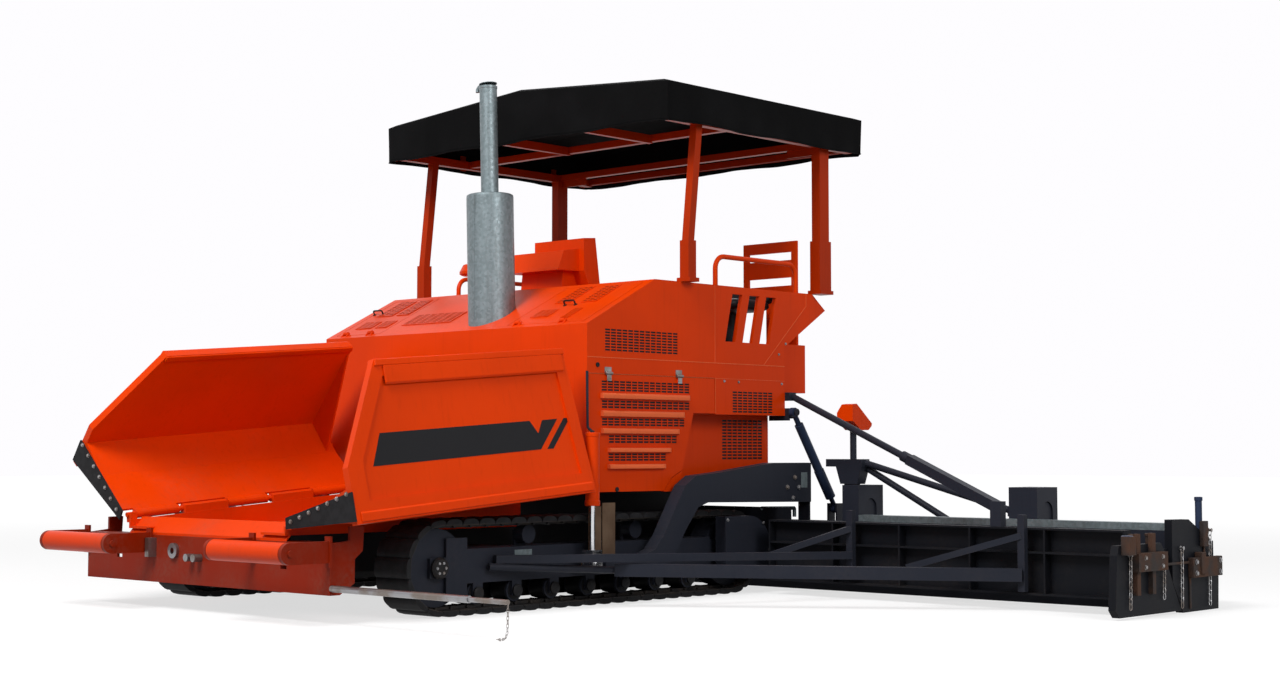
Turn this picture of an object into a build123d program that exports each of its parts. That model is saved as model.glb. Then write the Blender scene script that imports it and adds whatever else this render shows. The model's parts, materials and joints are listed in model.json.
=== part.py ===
# Crawler asphalt paver with a wide screed, as an assembly of separate pieces.
# Millimetres. +X is the machine's left, -Y its front (the hopper end), +Z up.
# The origin is on the ground at the centre of the machine's plan.
from build123d import *
from math import cos, pi, radians, sin, tan
import os

# ---- tractor body ----
bodyHalf = 1360          # centre plane to a side panel's outer face
panelT = 30              # thickness of side panels, doors and lids
frontY = -295            # hood's front wall
sillZ = 725              # lower edge of the side panels
frontTopZ = 1832         # top of the hood's front wall
ridgeY = 364             # where the hood's slope meets the level deck
deckZ = 2163             # top edge of the side panels
rearY = 1770             # rear edge of the side panels
stepZ = 1255             # lower edge of the upper rear box
stepY = 763              # where the slanted step meets that edge
stepFootY = 600          # where the slanted step meets the sill
recessHalf = bodyHalf - 160   # recessed rear lower panels
floorZ = 1700            # operator's floor
wellY = 1000             # front wall of the operator's well
gap = 6                  # running gap round doors and lids

# side doors: hinge line's x and z, rear edge, and the lower rear corner cut clear of the tow arm
doorHinge = (bodyHalf + 10, 1510)
doorBackY = 989
doorKnuckles = (-98, 604)
knuckleR = 9
doorCorner = [(stepY + 30, stepZ - 20), (673, 879), (530, 812), (455, sillZ)]
doorOpen = 80            # degrees that a side door opens
grilleDeep = 4           # the fields of slots lie in shallow pockets
ledgeOut = 26
# louvred fields of the door and the ledge under each: y span, z span, then the ledge's y end and z span
doorFields = [(-166, 722, 1388, 1468, 720, 1346, 1370), (-162, 722, 1275, 1338, 664, 1228, 1254),
              (-162, 670, 1160, 1221, 610, 1116, 1138), (-95, 590, 1046, 1109, 525, 993, 1009),
              (-99, 478, 928, 989, 470, 884, 901)]
# fixed grilles in the side panel, y span and z span, and the one in the recessed rear panel
panelFields = [(-133, 601, 1652, 1812), (1170, 1632, 1263, 1427)]
rearField = (1243, 1707, 931, 1231)
lidOpen = 60             # degrees that a hood lid opens
lidRim = 40              # fixed strip in front of and behind the lids
lidKnuckles = {1: (660, 1093), -1: (-900, -1180)}

# ---- tracks ----
trackIn = bodyHalf - 310
trackWide = 300
pitch = 135              # from pin to pin
idlerY = -1515
sprocketY = 1200
trackR = 293.5           # over the shoes, round idler and sprocket
shoeT = 55               # shoe and link together
frameIn = trackIn + 50   # track frame's inner and outer faces
frameOut = trackIn + trackWide - 50
wheelGap = 1

# ---- chassis ----
girderX = 640
girderT = 25
girderZ = (250, 700)
tunnelY = -310           # where the hopper ends and the tunnel starts
girderY = (-2139, 1499)
tunnelFloorZ = 480
slatZ = 500
conveyorIn = 45
conveyorWide = 540

# ---- front beam and push rollers ----
beamSlots = [(-903, 323), (843, 316)]   # x and z of the lashing slots
slotSize = (60, 22)
beamFaceY = -2320
towPlate = (-276, 375)   # x and z of the towing plate's bore
towPlateT = 21.7
towBore = 20
beamHalf = 1280
beamZ = (170, 465)
rollerY = -2610
rollerZ = 420
rollerR = 62.5
rollerX = (beamHalf - 715, beamHalf - 23)
rollerPin = 20
bearingGap = 0.5

# ---- hopper wings: u outwards, v along the hinge, w upwards ----
hingeX = 860
hingeY = -2300
hingeZ = 585
hingeSlope = 4.6         # the hinge line rises to the rear
rightRaised = 31.1       # the right wing is parked part way up
hingeR = 30
hingePin = 16
wingLong = 1925
wingHigh = 931
wingFoot = 672           # u of the wall's outer face at w = 0
wingLean = 11.1          # the wall leans inwards by this much
wallT = 50
wallRecess = 14
sheetT = 14
flapT = 12

# ---- tow arms, levelling and screed lift ----
towX = bodyHalf + 90
towT = 100
towY = -335
towZ = 270
towPin = 28
towEye = 50
armEndY = 1895
liftX = bodyHalf + 60
liftTop = (liftX, rearY + 23, 1280)
liftEye = (liftX, 2290, 576)
liftMouth = 540          # from the upper pin to the barrel's mouth
sleeve = (520, 750)      # sleeve on the rod that covers the barrel's mouth
liftPin = 16
liftPlay = 4             # radial play of the cylinders' eyes on their pins
liftRange = 3.5          # degrees that the screed can still be raised
armMountY = (armEndY + 0.3, armEndY + 65)   # screed's upright plate behind each tow arm

# ---- screed ----
screedFront = 1890
screedBack = 2360
screedHalf = 4390
screedTopZ = 500
rearMost = 2672.5
gateX = screedHalf + 10
gateT = 50
gateFront = [(1030, 15), (985, 60), (1010, 383), (1030, 440), (1550, 440), (1580, 400), (1680, 210), (1800, 15)]
gateBack = [(1690, 200), (1822, 0), (2295, 0), (2303, 203), (2237, 311), (2235, 428), (2043, 510), (1909, 574),
            (1690, 577)]
# pieces bolted on the outer face of the gate's front plate: y span, z span and how far each stands out
gateClamps = [(1180, 1540, 280, 390, 50), (1196, 1236, 140, 505, 30), (1383, 1423, 140, 505, 30),
              (1057, 1130, 384, 495, 60)]
# cable boxes on the screed: x span and y span
screedBoxes = [((1755, 1900), (1930, 2226)), ((3090, 3310), (2010, 2270))]
boxTop = 755
mastX, mastY = 1730, 2100

# ---- augers ----
augerY = 1690
augerZ = 250
augerR = 165
augerShaft = 45
augerX = (5, screedHalf - 240)
flightPitch = 360

# ---- auger channel: top of its plates, and the two brace posts ----
channelTop = 520
innerPostX = 2300
outerPostX = 3630
kneeX = bodyHalf + 240   # where the long brace bends beside the tow arm

# ---- canopy ----
postX = bodyHalf + 20
canopyHalf = postX + 95
canopyY = (370, 2590)
canopyZ = (3246, 3530)   # hem and eaves of the cover
canopyRise = 108         # ridge over the eaves
postFootTop = 2191       # top of the plates that the posts stand on
coverT = 14
frameZ = (3262, 3322)    # canopy frame, inside the cover
frameFrontX = (-250, 600)     # short bars from the front edge to the second cross bar
frameY = (430, 1150, 2180, 2530)   # cross bars of the frame

# ---- pointer's chain ----
chainR = 7.5
chainBend = 30

# ---- exhaust and air intake ----
mufflerX = 215
mufflerY = -70
mufflerR = 166
mufflerLean = 0.03       # sideways lean of the stack, towards -X
intakeX = -240
intakeY = 200

# whole side panel, and the doorway cut out of it, as (y, z)
sideOutline = [(frontY, sillZ), (frontY, frontTopZ), (ridgeY, deckZ), (2100, deckZ), (2257, 2048), (rearY, 1755),
               (rearY, stepZ), (stepY, stepZ), (stepFootY, sillZ)]
doorway = [(frontY + 10, sillZ - 20), (frontY + 10, doorHinge[1]), (doorBackY, doorHinge[1]),
           (doorBackY, stepZ - 20), *doorCorner, (455, sillZ - 20)]

nodes = {}


def block(x, y, z):
    size = (x[1] - x[0], y[1] - y[0], z[1] - z[0])
    return Pos(x[0], y[0], z[0]) * Box(*size, align=(Align.MIN, Align.MIN, Align.MIN))


def polygon(points):
    return make_face(Polyline(*points, close=True))


def side_plate(points, x):
    # points are (y, z)
    return extrude(Plane.YZ.offset(x[0]) * polygon(points), amount=x[1] - x[0])


def cross_plate(points, y):
    # points are (x, z)
    plane = Plane(origin=(0, y[0], 0), x_dir=(1, 0, 0), z_dir=(0, -1, 0))
    return extrude(plane * polygon(points), amount=y[0] - y[1])


def level_plate(points, z):
    # points are (x, y)
    return extrude(Plane.XY.offset(z[0]) * polygon(points), amount=z[1] - z[0])


def rod(a, b, radius, bore=0):
    a, b = Vector(*a), Vector(*b)
    section = Circle(radius) - Circle(bore) if bore else Circle(radius)
    return extrude(Plane(origin=a, z_dir=(b - a).normalized()) * section, amount=(b - a).length)


def wheel(x, y, z, radius, sides=12):
    # plain wheel along X with flat sides
    return extrude(Plane(origin=(x[0], y, z), x_dir=(0, 1, 0), z_dir=(1, 0, 0)) * RegularPolygon(radius, sides),
                   amount=x[1] - x[0])


def bar(a, b, wide, high):
    # rectangular bar from a to b, wide across and high in the upright plane through it
    a, b = Vector(*a), Vector(*b)
    along = (b - a).normalized()
    across = along.cross(Vector(0, 0, 1))
    across = across.normalized() if across.length > 0.001 else Vector(1, 0, 0)
    return extrude(Plane(origin=a, x_dir=across, z_dir=along) * Rectangle(wide, high), amount=(b - a).length)


def bent_tube(points, radius, bend):
    # tube with ten flats, along straight runs joined by arcs
    path = FilletPolyline(*points, radius=bend)
    start = Plane(origin=path @ 0, z_dir=path % 0)
    return sweep(start * RegularPolygon(radius, 10), path)


def joined(pieces):
    shape = pieces[0]
    for piece in pieces[1:]:
        shape = shape + piece
    return shape


def other_side(shape):
    return mirror(shape, about=Plane.YZ)


def keep(node, *pieces):
    nodes[node] = joined(list(pieces))


def keep_both(name, *pieces):
    shape = joined(list(pieces))
    nodes[name] = shape + other_side(shape)


def keep_pair(name, *pieces):
    shape = joined(list(pieces))
    nodes[name + "_left"] = shape
    nodes[name + "_right"] = other_side(shape)


# ------------------------------------------------------------------ chassis

def chassis():
    tail = [(girderY[0], girderZ[0]), (girderY[0], slatZ - 0.3), (tunnelY, slatZ - 0.3), (tunnelY, girderZ[1]),
            (girderY[1], girderZ[1]), (girderY[1], girderZ[0])]
    girder = side_plate(tail, (girderX, girderX + girderT))
    pieces = [girder, other_side(girder)]
    pieces.append(block((-girderX, girderX), (girderY[0], girderY[1]), (tunnelFloorZ - 12, tunnelFloorZ)))
    # cross beams that carry the track frames
    for y in (-900, 700):
        pieces.append(block((-frameIn, frameIn), (y - 90, y + 90), (girderZ[0], 400)))
    # engine floor over the tunnel, and the rear cross plate over the tunnel's mouth
    pieces.append(block((-girderX - girderT, girderX + girderT), (tunnelY, girderY[1]), (girderZ[1], girderZ[1] + 20)))
    keep("chassis_frame", *pieces)


def conveyors():
    pieces = []
    for y in range(girderY[0] + 40, girderY[1] - 40, 360):
        pieces.append(block((conveyorIn, conveyorIn + conveyorWide), (y, y + 45), (slatZ, slatZ + 18)))
    for x in (conveyorIn + 20, conveyorIn + conveyorWide - 50):
        pieces.append(block((x, x + 30), (girderY[0] + 20, girderY[1] - 20), (tunnelFloorZ, slatZ + 10)))
    keep_both("conveyors", *pieces)


# ------------------------------------------------------------------- tracks

def track_path():
    # closed loop through the pins' line offsets, as (y, z) points of the outer face
    run = sprocketY - idlerY
    length = 2 * run + 2 * pi * trackR
    count = round(length / pitch)
    step = length / count
    # one shoe: distance along the loop as a share of the pitch, height below the outer face
    shoe = ((0.0, 22), (0.10, 20), (0.17, 5), (0.27, 0), (0.73, 0), (0.83, 5), (0.90, 20))
    points = []
    for i in range(count):
        for share, drop in shoe:
            points.append(loop_point((i + share) * step, trackR - drop, run))
    return points


def loop_point(s, radius, run):
    # s is measured along a loop of radius trackR; radius sets how far out the point is
    half = pi * trackR
    s = s % (2 * run + 2 * half)
    if s < run:
        return (idlerY + s, trackR - radius)
    if s < run + half:
        a = (s - run) / trackR
        return (sprocketY + radius * sin(a), trackR - radius * cos(a))
    if s < 2 * run + half:
        return (sprocketY - (s - run - half), trackR + radius)
    a = (s - 2 * run - half) / trackR
    return (idlerY - radius * sin(a), trackR + radius * cos(a))


def stadium(radius):
    run = sprocketY - idlerY
    middle = (idlerY + run / 2, trackR)
    return Pos(*middle) * SlotCenterToCenter(run, 2 * radius)


def tracks():
    face = polygon(track_path()) - stadium(trackR - shoeT)
    keep_pair("track", extrude(Plane.YZ.offset(trackIn) * face, amount=trackWide))


def track_frames():
    outer, inner = frameOut, frameIn
    plateT = 20
    beamY = (-1280, 1000)
    lowZ, topZ = 190, 400
    wheelR = trackR - shoeT - wheelGap
    rollerRad = 70
    pieces = [block((inner, outer), beamY, (topZ - plateT, topZ))]
    for x in (inner, outer - plateT):
        pieces.append(block((x, x + plateT), (beamY[0] - 170, beamY[0]), (90, 470)))
        pieces.append(block((x, x + plateT), beamY, (lowZ, topZ)))
        pieces.append(block((x, x + plateT), (beamY[0] - 300, beamY[0] - 170), (trackR - 60, trackR + 60)))
        pieces.append(block((x, x + plateT), (beamY[1], sprocketY + 90), (trackR - 90, trackR + 90)))
    for y, hub in ((idlerY, 60), (sprocketY, 90)):
        pieces.append(wheel((inner + 25, outer - 25), y, trackR, wheelR, 36))
        pieces.append(wheel((inner - 10, outer + 10), y, trackR, hub))
    for i in range(7):
        y = beamY[0] + 90 + i * 330
        z = shoeT + wheelGap + rollerRad
        pieces.append(wheel((inner + 25, outer - 25), y, z, rollerRad))
        pieces.append(block((inner, inner + plateT), (y - 40, y + 40), (z - 30, lowZ)))
        pieces.append(block((outer - plateT, outer), (y - 40, y + 40), (z - 30, lowZ)))
        pieces.append(wheel((inner, outer), y, z, 22, 8))
    for y in (-700, 300):
        z = 2 * trackR - shoeT - wheelGap - 60
        pieces.append(wheel((inner + 60, outer - 60), y, z, 60))
        pieces.append(block((inner + 40, inner + 60), (y - 50, y + 50), (topZ, z + 30)))
    keep_both("track_frames", *pieces, *drive_cover())


def drive_cover():
    # arched dark cover over the rear drive
    y0, y1, z0, z1, r = 990, 1490, 130, 545, 240
    outline = polygon([(y0, z0), (y1, z0), (y1, z1), (y0, z1)])
    corner = [v for v in outline.vertices() if v.X > y1 - 1 and v.Y > z1 - 1]
    outline = fillet(corner, r)
    x = trackIn + trackWide + 10
    axle = rod((frameOut - 10, sprocketY, trackR), (x + 1, sprocketY, trackR), 60)
    return [extrude(Plane.YZ.offset(x) * outline, amount=90), axle]


# ------------------------------------------------------------ front beam

def front_beam():
    plate = 20
    cheek = [(beamFaceY, beamZ[0]), (-2246, beamZ[0]), (-2138, 234), (-2138, 372), (-2080, 419),
             (-2071, 563), (-2174, 561), (-2174, 480), (beamFaceY, beamZ[1])]
    pieces = [block((-beamHalf, beamHalf), (beamFaceY, beamFaceY + plate), beamZ),
              block((-beamHalf, beamHalf), (beamFaceY, -2140), (beamZ[1] - plate, beamZ[1])),
              block((-beamHalf, beamHalf), (beamFaceY, -2246), (beamZ[0], beamZ[0] + plate))]
    for x in (beamHalf - plate, -beamHalf):
        pieces.append(side_plate(cheek, (x, x + plate)))
    for x in (girderX, -girderX - plate):
        pieces.append(block((x, x + plate), (beamFaceY, -2140), beamZ))
    pieces.append(block((-beamHalf, beamHalf), (-2160, -2140), (372, beamZ[1])))
    beam = joined(pieces)
    for x, z in beamSlots:
        wide, high = slotSize
        span = (beamFaceY - 1, beamFaceY + plate + 1)
        beam = beam - block((x - wide / 2, x + wide / 2), span, (z - high / 2, z + high / 2))
    keep("front_beam", beam)
    # round tow plate with a bore for the towing pin, and its two hose couplings
    x, z = towPlate
    tow = rod((x, beamFaceY - 0.3 - towPlateT, z), (x, beamFaceY - 0.3, z), 48, towBore)
    cups = [rod((x, beamFaceY - 60, 340), (x, beamFaceY - 0.3, 340), 24) for x in (-74, 2)]
    keep("beam_fittings", tow, *cups, block((-520, -480), (beamFaceY - 60, beamFaceY - 0.3), (330, 450)))


def push_rollers():
    armT = 28
    arms = []
    for x in (rollerX[0] - 5 - armT, rollerX[1] + 5):
        profile = SlotCenterToCenter(abs(rollerY - beamFaceY), 2 * rollerR)
        arm = extrude(Plane.YZ.offset(x) * (Pos((rollerY + beamFaceY) / 2, rollerZ) * profile), amount=armT)
        arm = arm & block((x, x + armT), (rollerY - 200, beamFaceY - 0.3), (0, 900))
        arms.append(arm)
        arms.append(block((x - 12, x + armT + 12), (beamFaceY - 16, beamFaceY - 0.3), (330, 510)))
    pin = rod((rollerX[0] - 45, rollerY, rollerZ), (rollerX[1] + 45, rollerY, rollerZ), rollerPin)
    keep_both("roller_arms", *arms, pin)
    keep_pair("push_roller", rod((rollerX[0], rollerY, rollerZ), (rollerX[1], rollerY, rollerZ),
                                 rollerR, rollerPin + bearingGap))


# ----------------------------------------------------------------- hopper

def on_hinge(shape, raised=0):
    return Pos(hingeX, hingeY, hingeZ) * Rot(hingeSlope, 0, 0) * Rot(0, -raised, 0) * shape


def local_rod(v0, v1, radius, bore=0):
    return rod((0, v0, 0), (0, v1, 0), radius, bore)


def wing_solids():
    lean = radians(wingLean)
    rise = wingHigh / cos(lean)
    wall_plane = Plane(origin=(wingFoot, 0, 0), x_dir=(0, 1, 0), z_dir=(cos(lean), 0, sin(lean)))
    outline = [(-22, 0), (wingLong, 0), (wingLong - 65, rise), (308, rise), (-22, 330)]
    wall = extrude(wall_plane * polygon(outline), amount=-wallT)
    recess = [(95, 130), (wingLong - 100, 130), (wingLong - 150, rise - 105), (350, rise - 105), (95, 360)]
    wall = wall - extrude(wall_plane * polygon(recess), amount=-wallRecess)
    # floor: two folds between the hinge and the wall
    top = [(36, 22), (340, 95), (560, 190), (600, 205)]
    floor = cross_plate(top + [(u, w - sheetT) for u, w in reversed(top)], (-22, wingLong))
    rib = top + [(wingFoot - 40, 20), (wingFoot - 40, 4), (36, -10)]
    ribs = [cross_plate(rib, (v, v + 14)) for v in (-22, 620, 1260, wingLong - 14)]
    # slanted end plate that closes the wing's rear
    end = [(350, 90), (560, 185), (600, 205), (640 - 0.196 * 700, 700), (640 - 0.196 * 920, 920)]
    back = cross_plate(end, (wingLong - 80, wingLong - 66))
    knuckles = [local_rod(v, v + 330, hingeR, hingePin + bearingGap) for v in (60, 780, 1500)]
    webs = [cross_plate([(22, 4), (60, 14), (60, 27), (18, 20)], (v, v + 330)) for v in (60, 780, 1500)]
    return joined([wall, floor, back] + ribs + knuckles + webs)


def flap_solid():
    # rubber flap bolted over the floor's front end
    outline = [(16, -44), (wingFoot - 4, 17), (wingFoot - 30, 186), (16, 24)]
    return cross_plate(outline, (-22 - flapT - 0.3, -22.3))


def hopper():
    wing = wing_solids()
    flap = flap_solid()
    nodes["wing_left"] = on_hinge(wing)
    nodes["wing_right"] = other_side(on_hinge(wing, rightRaised))
    nodes["wing_flap_left"] = on_hinge(flap)
    nodes["wing_flap_right"] = other_side(on_hinge(flap, rightRaised))
    # centre of the hopper: hinge carriers, floor beside the conveyors, sloped front apron
    slope = tan(radians(hingeSlope))
    y1 = hingeY + wingLong * cos(radians(hingeSlope))
    carrier = [(hingeY, 500), (hingeY, hingeZ - 30), (y1, hingeZ - 30 + slope * (y1 - hingeY)), (y1, 500)]
    pieces = [side_plate(carrier, (815, 830))]
    pieces.append(block((conveyorIn + conveyorWide + 5, 830), (hingeY, y1), (slatZ, slatZ + 15)))
    knuckles = [local_rod(v, v + 340, hingeR, 0) for v in (425, 1145)]
    knuckles.append(local_rod(0, 1850, hingePin))
    knuckles += [block((-40, -12), (v, v + 340), (-50, 20)) for v in (425, 1145)]
    knuckles += [block((-40, 14), (v, v + 45), (-50, 14)) for v in (8, 1838)]
    pieces += [on_hinge(k) for k in knuckles]
    carriers = joined(pieces)
    apron = side_plate([(beamFaceY + 30, beamZ[1] + 0.3), (-2200, 560), (-2200, 574), (beamFaceY + 30, beamZ[1] + 15)],
                       (-830, 830))
    keep("hopper_center", carriers, other_side(carriers), apron,
         block((-815, 815), (hingeY + 100, hingeY + 115), (slatZ, 574)))


# -------------------------------------------------------------------- body

def body_sides():
    inner = bodyHalf - panelT
    panel = side_plate(sideOutline, (inner, bodyHalf)) - side_plate(doorway, (inner - 1, bodyHalf + 1))
    for field in panelFields:
        panel = panel - side_field(field, bodyHalf)
    # three slanted slots beside the operator's well
    for y in (1100, 1290, 1480):
        slot = [(y, 1770), (y + 110, 1770), (y + 190, 2110), (y + 80, 2110)]
        panel = panel - side_plate(slot, (inner - 1, bodyHalf + 1))
    # recessed lower rear panel with its closing step and roof, bent from one sheet
    deep = recessHalf - panelT
    edge = inner - 5
    pocket = [(stepFootY - 20, sillZ), (stepFootY, sillZ), (stepY, stepZ), (rearY, stepZ), (rearY, stepZ + 20),
              (stepY - 20, stepZ + 20)]
    rim = side_plate(pocket, (deep, edge))
    recess = side_plate([(stepFootY, sillZ), (stepY, stepZ), (rearY, stepZ), (rearY, sillZ)], (deep, recessHalf))
    recess = recess - side_field(rearField, recessHalf)
    # tabs that join the pocket to the fixed parts of the side panel
    back_tab = block((edge - 20, inner + 10), (doorBackY + 2 * gap, rearY - 10), (stepZ + 3, stepZ + 17))
    foot_tab = block((edge - 20, inner + 10), (stepFootY - 12, stepFootY + 2), (sillZ + 15, sillZ + 55))
    # hinge pins of the side door and their lugs above the door's edge
    x, z = doorHinge
    hinges = []
    for y in doorKnuckles:
        hinges.append(rod((x, y - 28, z), (x, y + 28, z), 4))
        for y0 in (y - 28, y + 20):
            hinges.append(rod((x, y0, z), (x, y0 + 8, z), knuckleR))
            hinges.append(block((bodyHalf - 5, x), (y0, y0 + 8), (z + 1, z + knuckleR)))
    keep_both("body_sides", panel, rim, recess, back_tab, foot_tab, *hinges)


def side_field(field, face):
    # shallow pocket for a field of slots
    y0, y1, z0, z1 = field[:4]
    return block((face - grilleDeep, face + 1), (y0, y1), (z0, z1))


def side_doors():
    inner = bodyHalf - panelT
    outline = polygon(sideOutline) & polygon(doorway)
    outline = offset(outline, amount=-gap, kind=Kind.INTERSECTION)
    door = extrude(Plane.YZ.offset(inner) * outline, amount=panelT)
    for field in doorFields:
        door = door - side_field(field, bodyHalf)
        y0, y1, z0, z1 = field[0], *field[4:]
        ledge = [(bodyHalf - 1, y0), (bodyHalf + ledgeOut, y0), (bodyHalf + ledgeOut, y1 - 35), (bodyHalf - 1, y1)]
        door = door + level_plate(ledge, (z0, z1))
    # hinge leaves with knuckles on the hinge line
    x, z = doorHinge
    leaves = []
    for y in doorKnuckles:
        leaves.append(block((bodyHalf, bodyHalf + 12), (y - 18, y + 18), (z - 45, z - gap)))
        leaves.append(block((bodyHalf + 2, bodyHalf + 12), (y - 18, y + 18), (z - gap - 1, z)))
        leaves.append(rod((x, y - 18, z), (x, y + 18, z), knuckleR, 4 + bearingGap))
    bore = rod((x, doorKnuckles[0] - 60, z), (x, doorKnuckles[-1] + 60, z), 4 + bearingGap)
    keep_pair("side_door", joined([door, *leaves]) - bore)


def body_core():
    inner = bodyHalf - panelT - 0.3
    t = 25
    # front wall
    front = block((-inner, inner), (frontY, frontY + t), (sillZ, frontTopZ - 4))
    # hood: sloped fixed strips round two lids, and the level deck behind the ridge
    hood = [(frontY, frontTopZ - t), (frontY, frontTopZ), (ridgeY, deckZ), (wellY, deckZ),
            (wellY, deckZ - t), (ridgeY + 8, deckZ - t)]
    top = side_plate(hood, (-inner, inner))
    for side in (-1, 1):
        top = top - lid_solid(side, 0, 60)
    top = top - rod(stack_at(1700), stack_at(2300), mufflerR + 0.3)
    top = top - rod((intakeX, intakeY, 1900), (intakeX, intakeY, 2300), 63.3)
    lugs = []
    y, z = lid_hinge()
    for name, side in (("hood_lid_left", 1), ("hood_lid_right", -1)):
        lid = lid_solid(side, gap, 0)
        for x in lidKnuckles[side]:
            lid = lid + rod((x - 20, y, z), (x + 20, y, z), 14)
            lid = lid - rod((x - 21, y, z), (x + 21, y, z), 6 + bearingGap)
            for x0 in (x - 31, x + 22):
                ear = [(y - 8, z + 3), (y - 34, z - 30), (y - 8, z - 24), (y - 4, z - 8)]
                lugs += [rod((x0, y, z), (x0 + 9, y, z), 9), side_plate(ear, (x0, x0 + 9))]
            lugs.append(rod((x - 31, y, z), (x + 31, y, z), 6))
        keep(name, lid)
    keep("hood", top, front, *lugs)
    # operator's well: floor, front wall and rear wall
    box = block((1010, 1330), (rearY, 2050), (1425, 1780))
    keep("operator_well", box, other_side(box),
         block((-inner, inner), (wellY, rearY), (floorZ - 20, floorZ)),
         block((-inner, inner), (wellY, wellY + t), (floorZ, deckZ - t - 0.3)),
         block((-inner, inner), (rearY - t, rearY), (1300, floorZ)))
    # rear bulkhead under the floor
    keep("rear_bulkhead",
         block((-recessHalf + panelT + 0.3, recessHalf - panelT - 0.3), (rearY - 60, rearY - 30), (sillZ, 1299)),
         block((-1100, 1100), (girderY[1] - 200, rearY - 59), (sillZ, sillZ + 60)))
    keep("engine", block((-420, 420), (100, 900), (girderZ[1] + 20.3, 1600)))
    keep("cooler", block((-900, 900), (1150, 1400), (sillZ + 60.3, 1600)))


def lid_hinge():
    # hinge line a little above the lids' front edge
    y = frontY + lidRim + gap
    return y, frontTopZ + (deckZ - frontTopZ) / (ridgeY - frontY) * (y - frontY) + 12


def lid_solid(side, shrink, extra):
    # sloped lid over the engine bay: x span, slope positions measured along y
    x0, x1 = (560, 1290) if side > 0 else (-1290, -790)
    slope = (deckZ - frontTopZ) / (ridgeY - frontY)
    y0, y1 = frontY + lidRim + shrink, ridgeY - lidRim - shrink
    z0 = frontTopZ + slope * (y0 - frontY)
    z1 = frontTopZ + slope * (y1 - frontY)
    points = [(y0, z0 - panelT - extra), (y0, z0 + extra), (y1, z1 + extra), (y1, z1 - panelT - extra)]
    return side_plate(points, (x0 + shrink, x1 - shrink))


def platform():
    path = [(1010, deckZ + 0.3), (1010, 2370), (1920, 2370), (1920, deckZ + 0.3)]
    rail = bent_tube([(1345, y, z) for y, z in path], 18, 90)
    guard = block((1010, 1300), (1990, 2010), (1780.3, 2200)) + block((790, 1300), (1990, 2010), (2163, 2560))
    guard = guard - block((840, 1250), (1980, 2020), (2420, 2480)) - block((840, 1250), (1980, 2020), (2230, 2290))
    keep_both("platform_rails", guard, rail)
    keep_both("seats", block((820, 1270), (1330, 1750), (2020, 2090)), block((820, 1270), (1700, 1780), (2090, 2150)),
              rod((1045, 1540, floorZ + 0.3), (1045, 1540, 2020), 50), block((945, 1145), (1440, 1640), (floorZ + 0.3, 1720)))
    keep("console",
         side_plate([(740, deckZ + 0.3), (980, deckZ + 0.3), (960, 2390), (760, 2330)], (-350, 80)),
         side_plate([(640, 2325), (700, 2470), (900, 2500), (930, 2330)], (-430, 150)),
         side_plate([(860, 2330), (860, 2570), (980, 2580), (1040, deckZ + 0.3), (940, deckZ + 0.3)], (-320, 200)))


# ----------------------------------------------------------------- canopy

def canopy():
    pieces = []
    for side in (-1, 1):
        x = side * postX
        # slanted front post and its bracket
        pieces.append(block((x - 40, x + 40), (640, 720), (postFootTop - 1, 2450)))
        pieces.append(bar((x, 680, 2440), (x, 770, frameZ[0] + 10), 60, 60))
        # upright rear post
        pieces.append(block((x - 45, x + 45), (2110, 2250), (postFootTop - 1, 2560)))
        pieces.append(block((x - 38, x + 38), (2125, 2235), (2560, frameZ[0] + 10)))
        pieces.append(block((x - 30, x + 30), (canopyY[0] + 50, canopyY[1] - 50), frameZ))
    # bars from the front edge to the second cross bar, and gussets at the rear posts
    for x in frameFrontX:
        pieces.append(block((x - 20, x + 20), frameY[:2], frameZ))
    for x0, x1 in ((1070, postX), (-postX, -1070)):
        pieces.append(block((x0, x1), (frameY[2] - 6, frameY[2] + 6), (3217, frameZ[1])))
    # cross bars, with feet at their ends that the cover is sewn to
    wall = canopyHalf - coverT - 0.3
    for y in frameY:
        pieces.append(block((-wall, wall), (y - 25, y + 25), (frameZ[1] - 50, frameZ[1])))
        pieces.append(block((wall - 12, wall), (y - 25, y + 25), (frameZ[0], frameZ[1] + 60)))
        pieces.append(block((-wall, 12 - wall), (y - 25, y + 25), (frameZ[0], frameZ[1] + 60)))
    for x in (-postX, postX):
        for y0, y1 in ((630, 730), (2100, 2257)):
            pieces.append(block((x - 60, x + 60), (y0, y1), (deckZ + 0.3, postFootTop)))
    keep("canopy_frame", *pieces)
    # canvas cover: closed shell, open from below
    keep("canopy_cover", cover_solid(0) - cover_solid(coverT))


def cover_solid(inset):
    # gabled box with its ridge along the machine
    low = canopyZ[0] - (1 if inset else 0)
    x = canopyHalf - inset
    rim, top = canopyZ[1] - inset, canopyZ[1] + canopyRise - inset
    gable = [(-x, low), (x, low), (x, rim), (0, top), (-x, rim)]
    return cross_plate(gable, (canopyY[0] + inset, canopyY[1] - inset))


# ------------------------------------------------- exhaust and air intake

def stack_at(z):
    # point on the leaning centre line of the stack
    return mufflerX - mufflerLean * (z - 1700), mufflerY, z


def exhaust():
    keep("exhaust", rod(stack_at(1700), stack_at(2800), mufflerR), rod(stack_at(2795), stack_at(3600), 62))
    keep("air_intake", rod((intakeX, intakeY, 1950), (intakeX, intakeY, 2275), 63),
         rod((intakeX, intakeY, 2270), (intakeX, intakeY, 2355), 130))


# ----------------------------------------------- tow arms, levelling, lift

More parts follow.
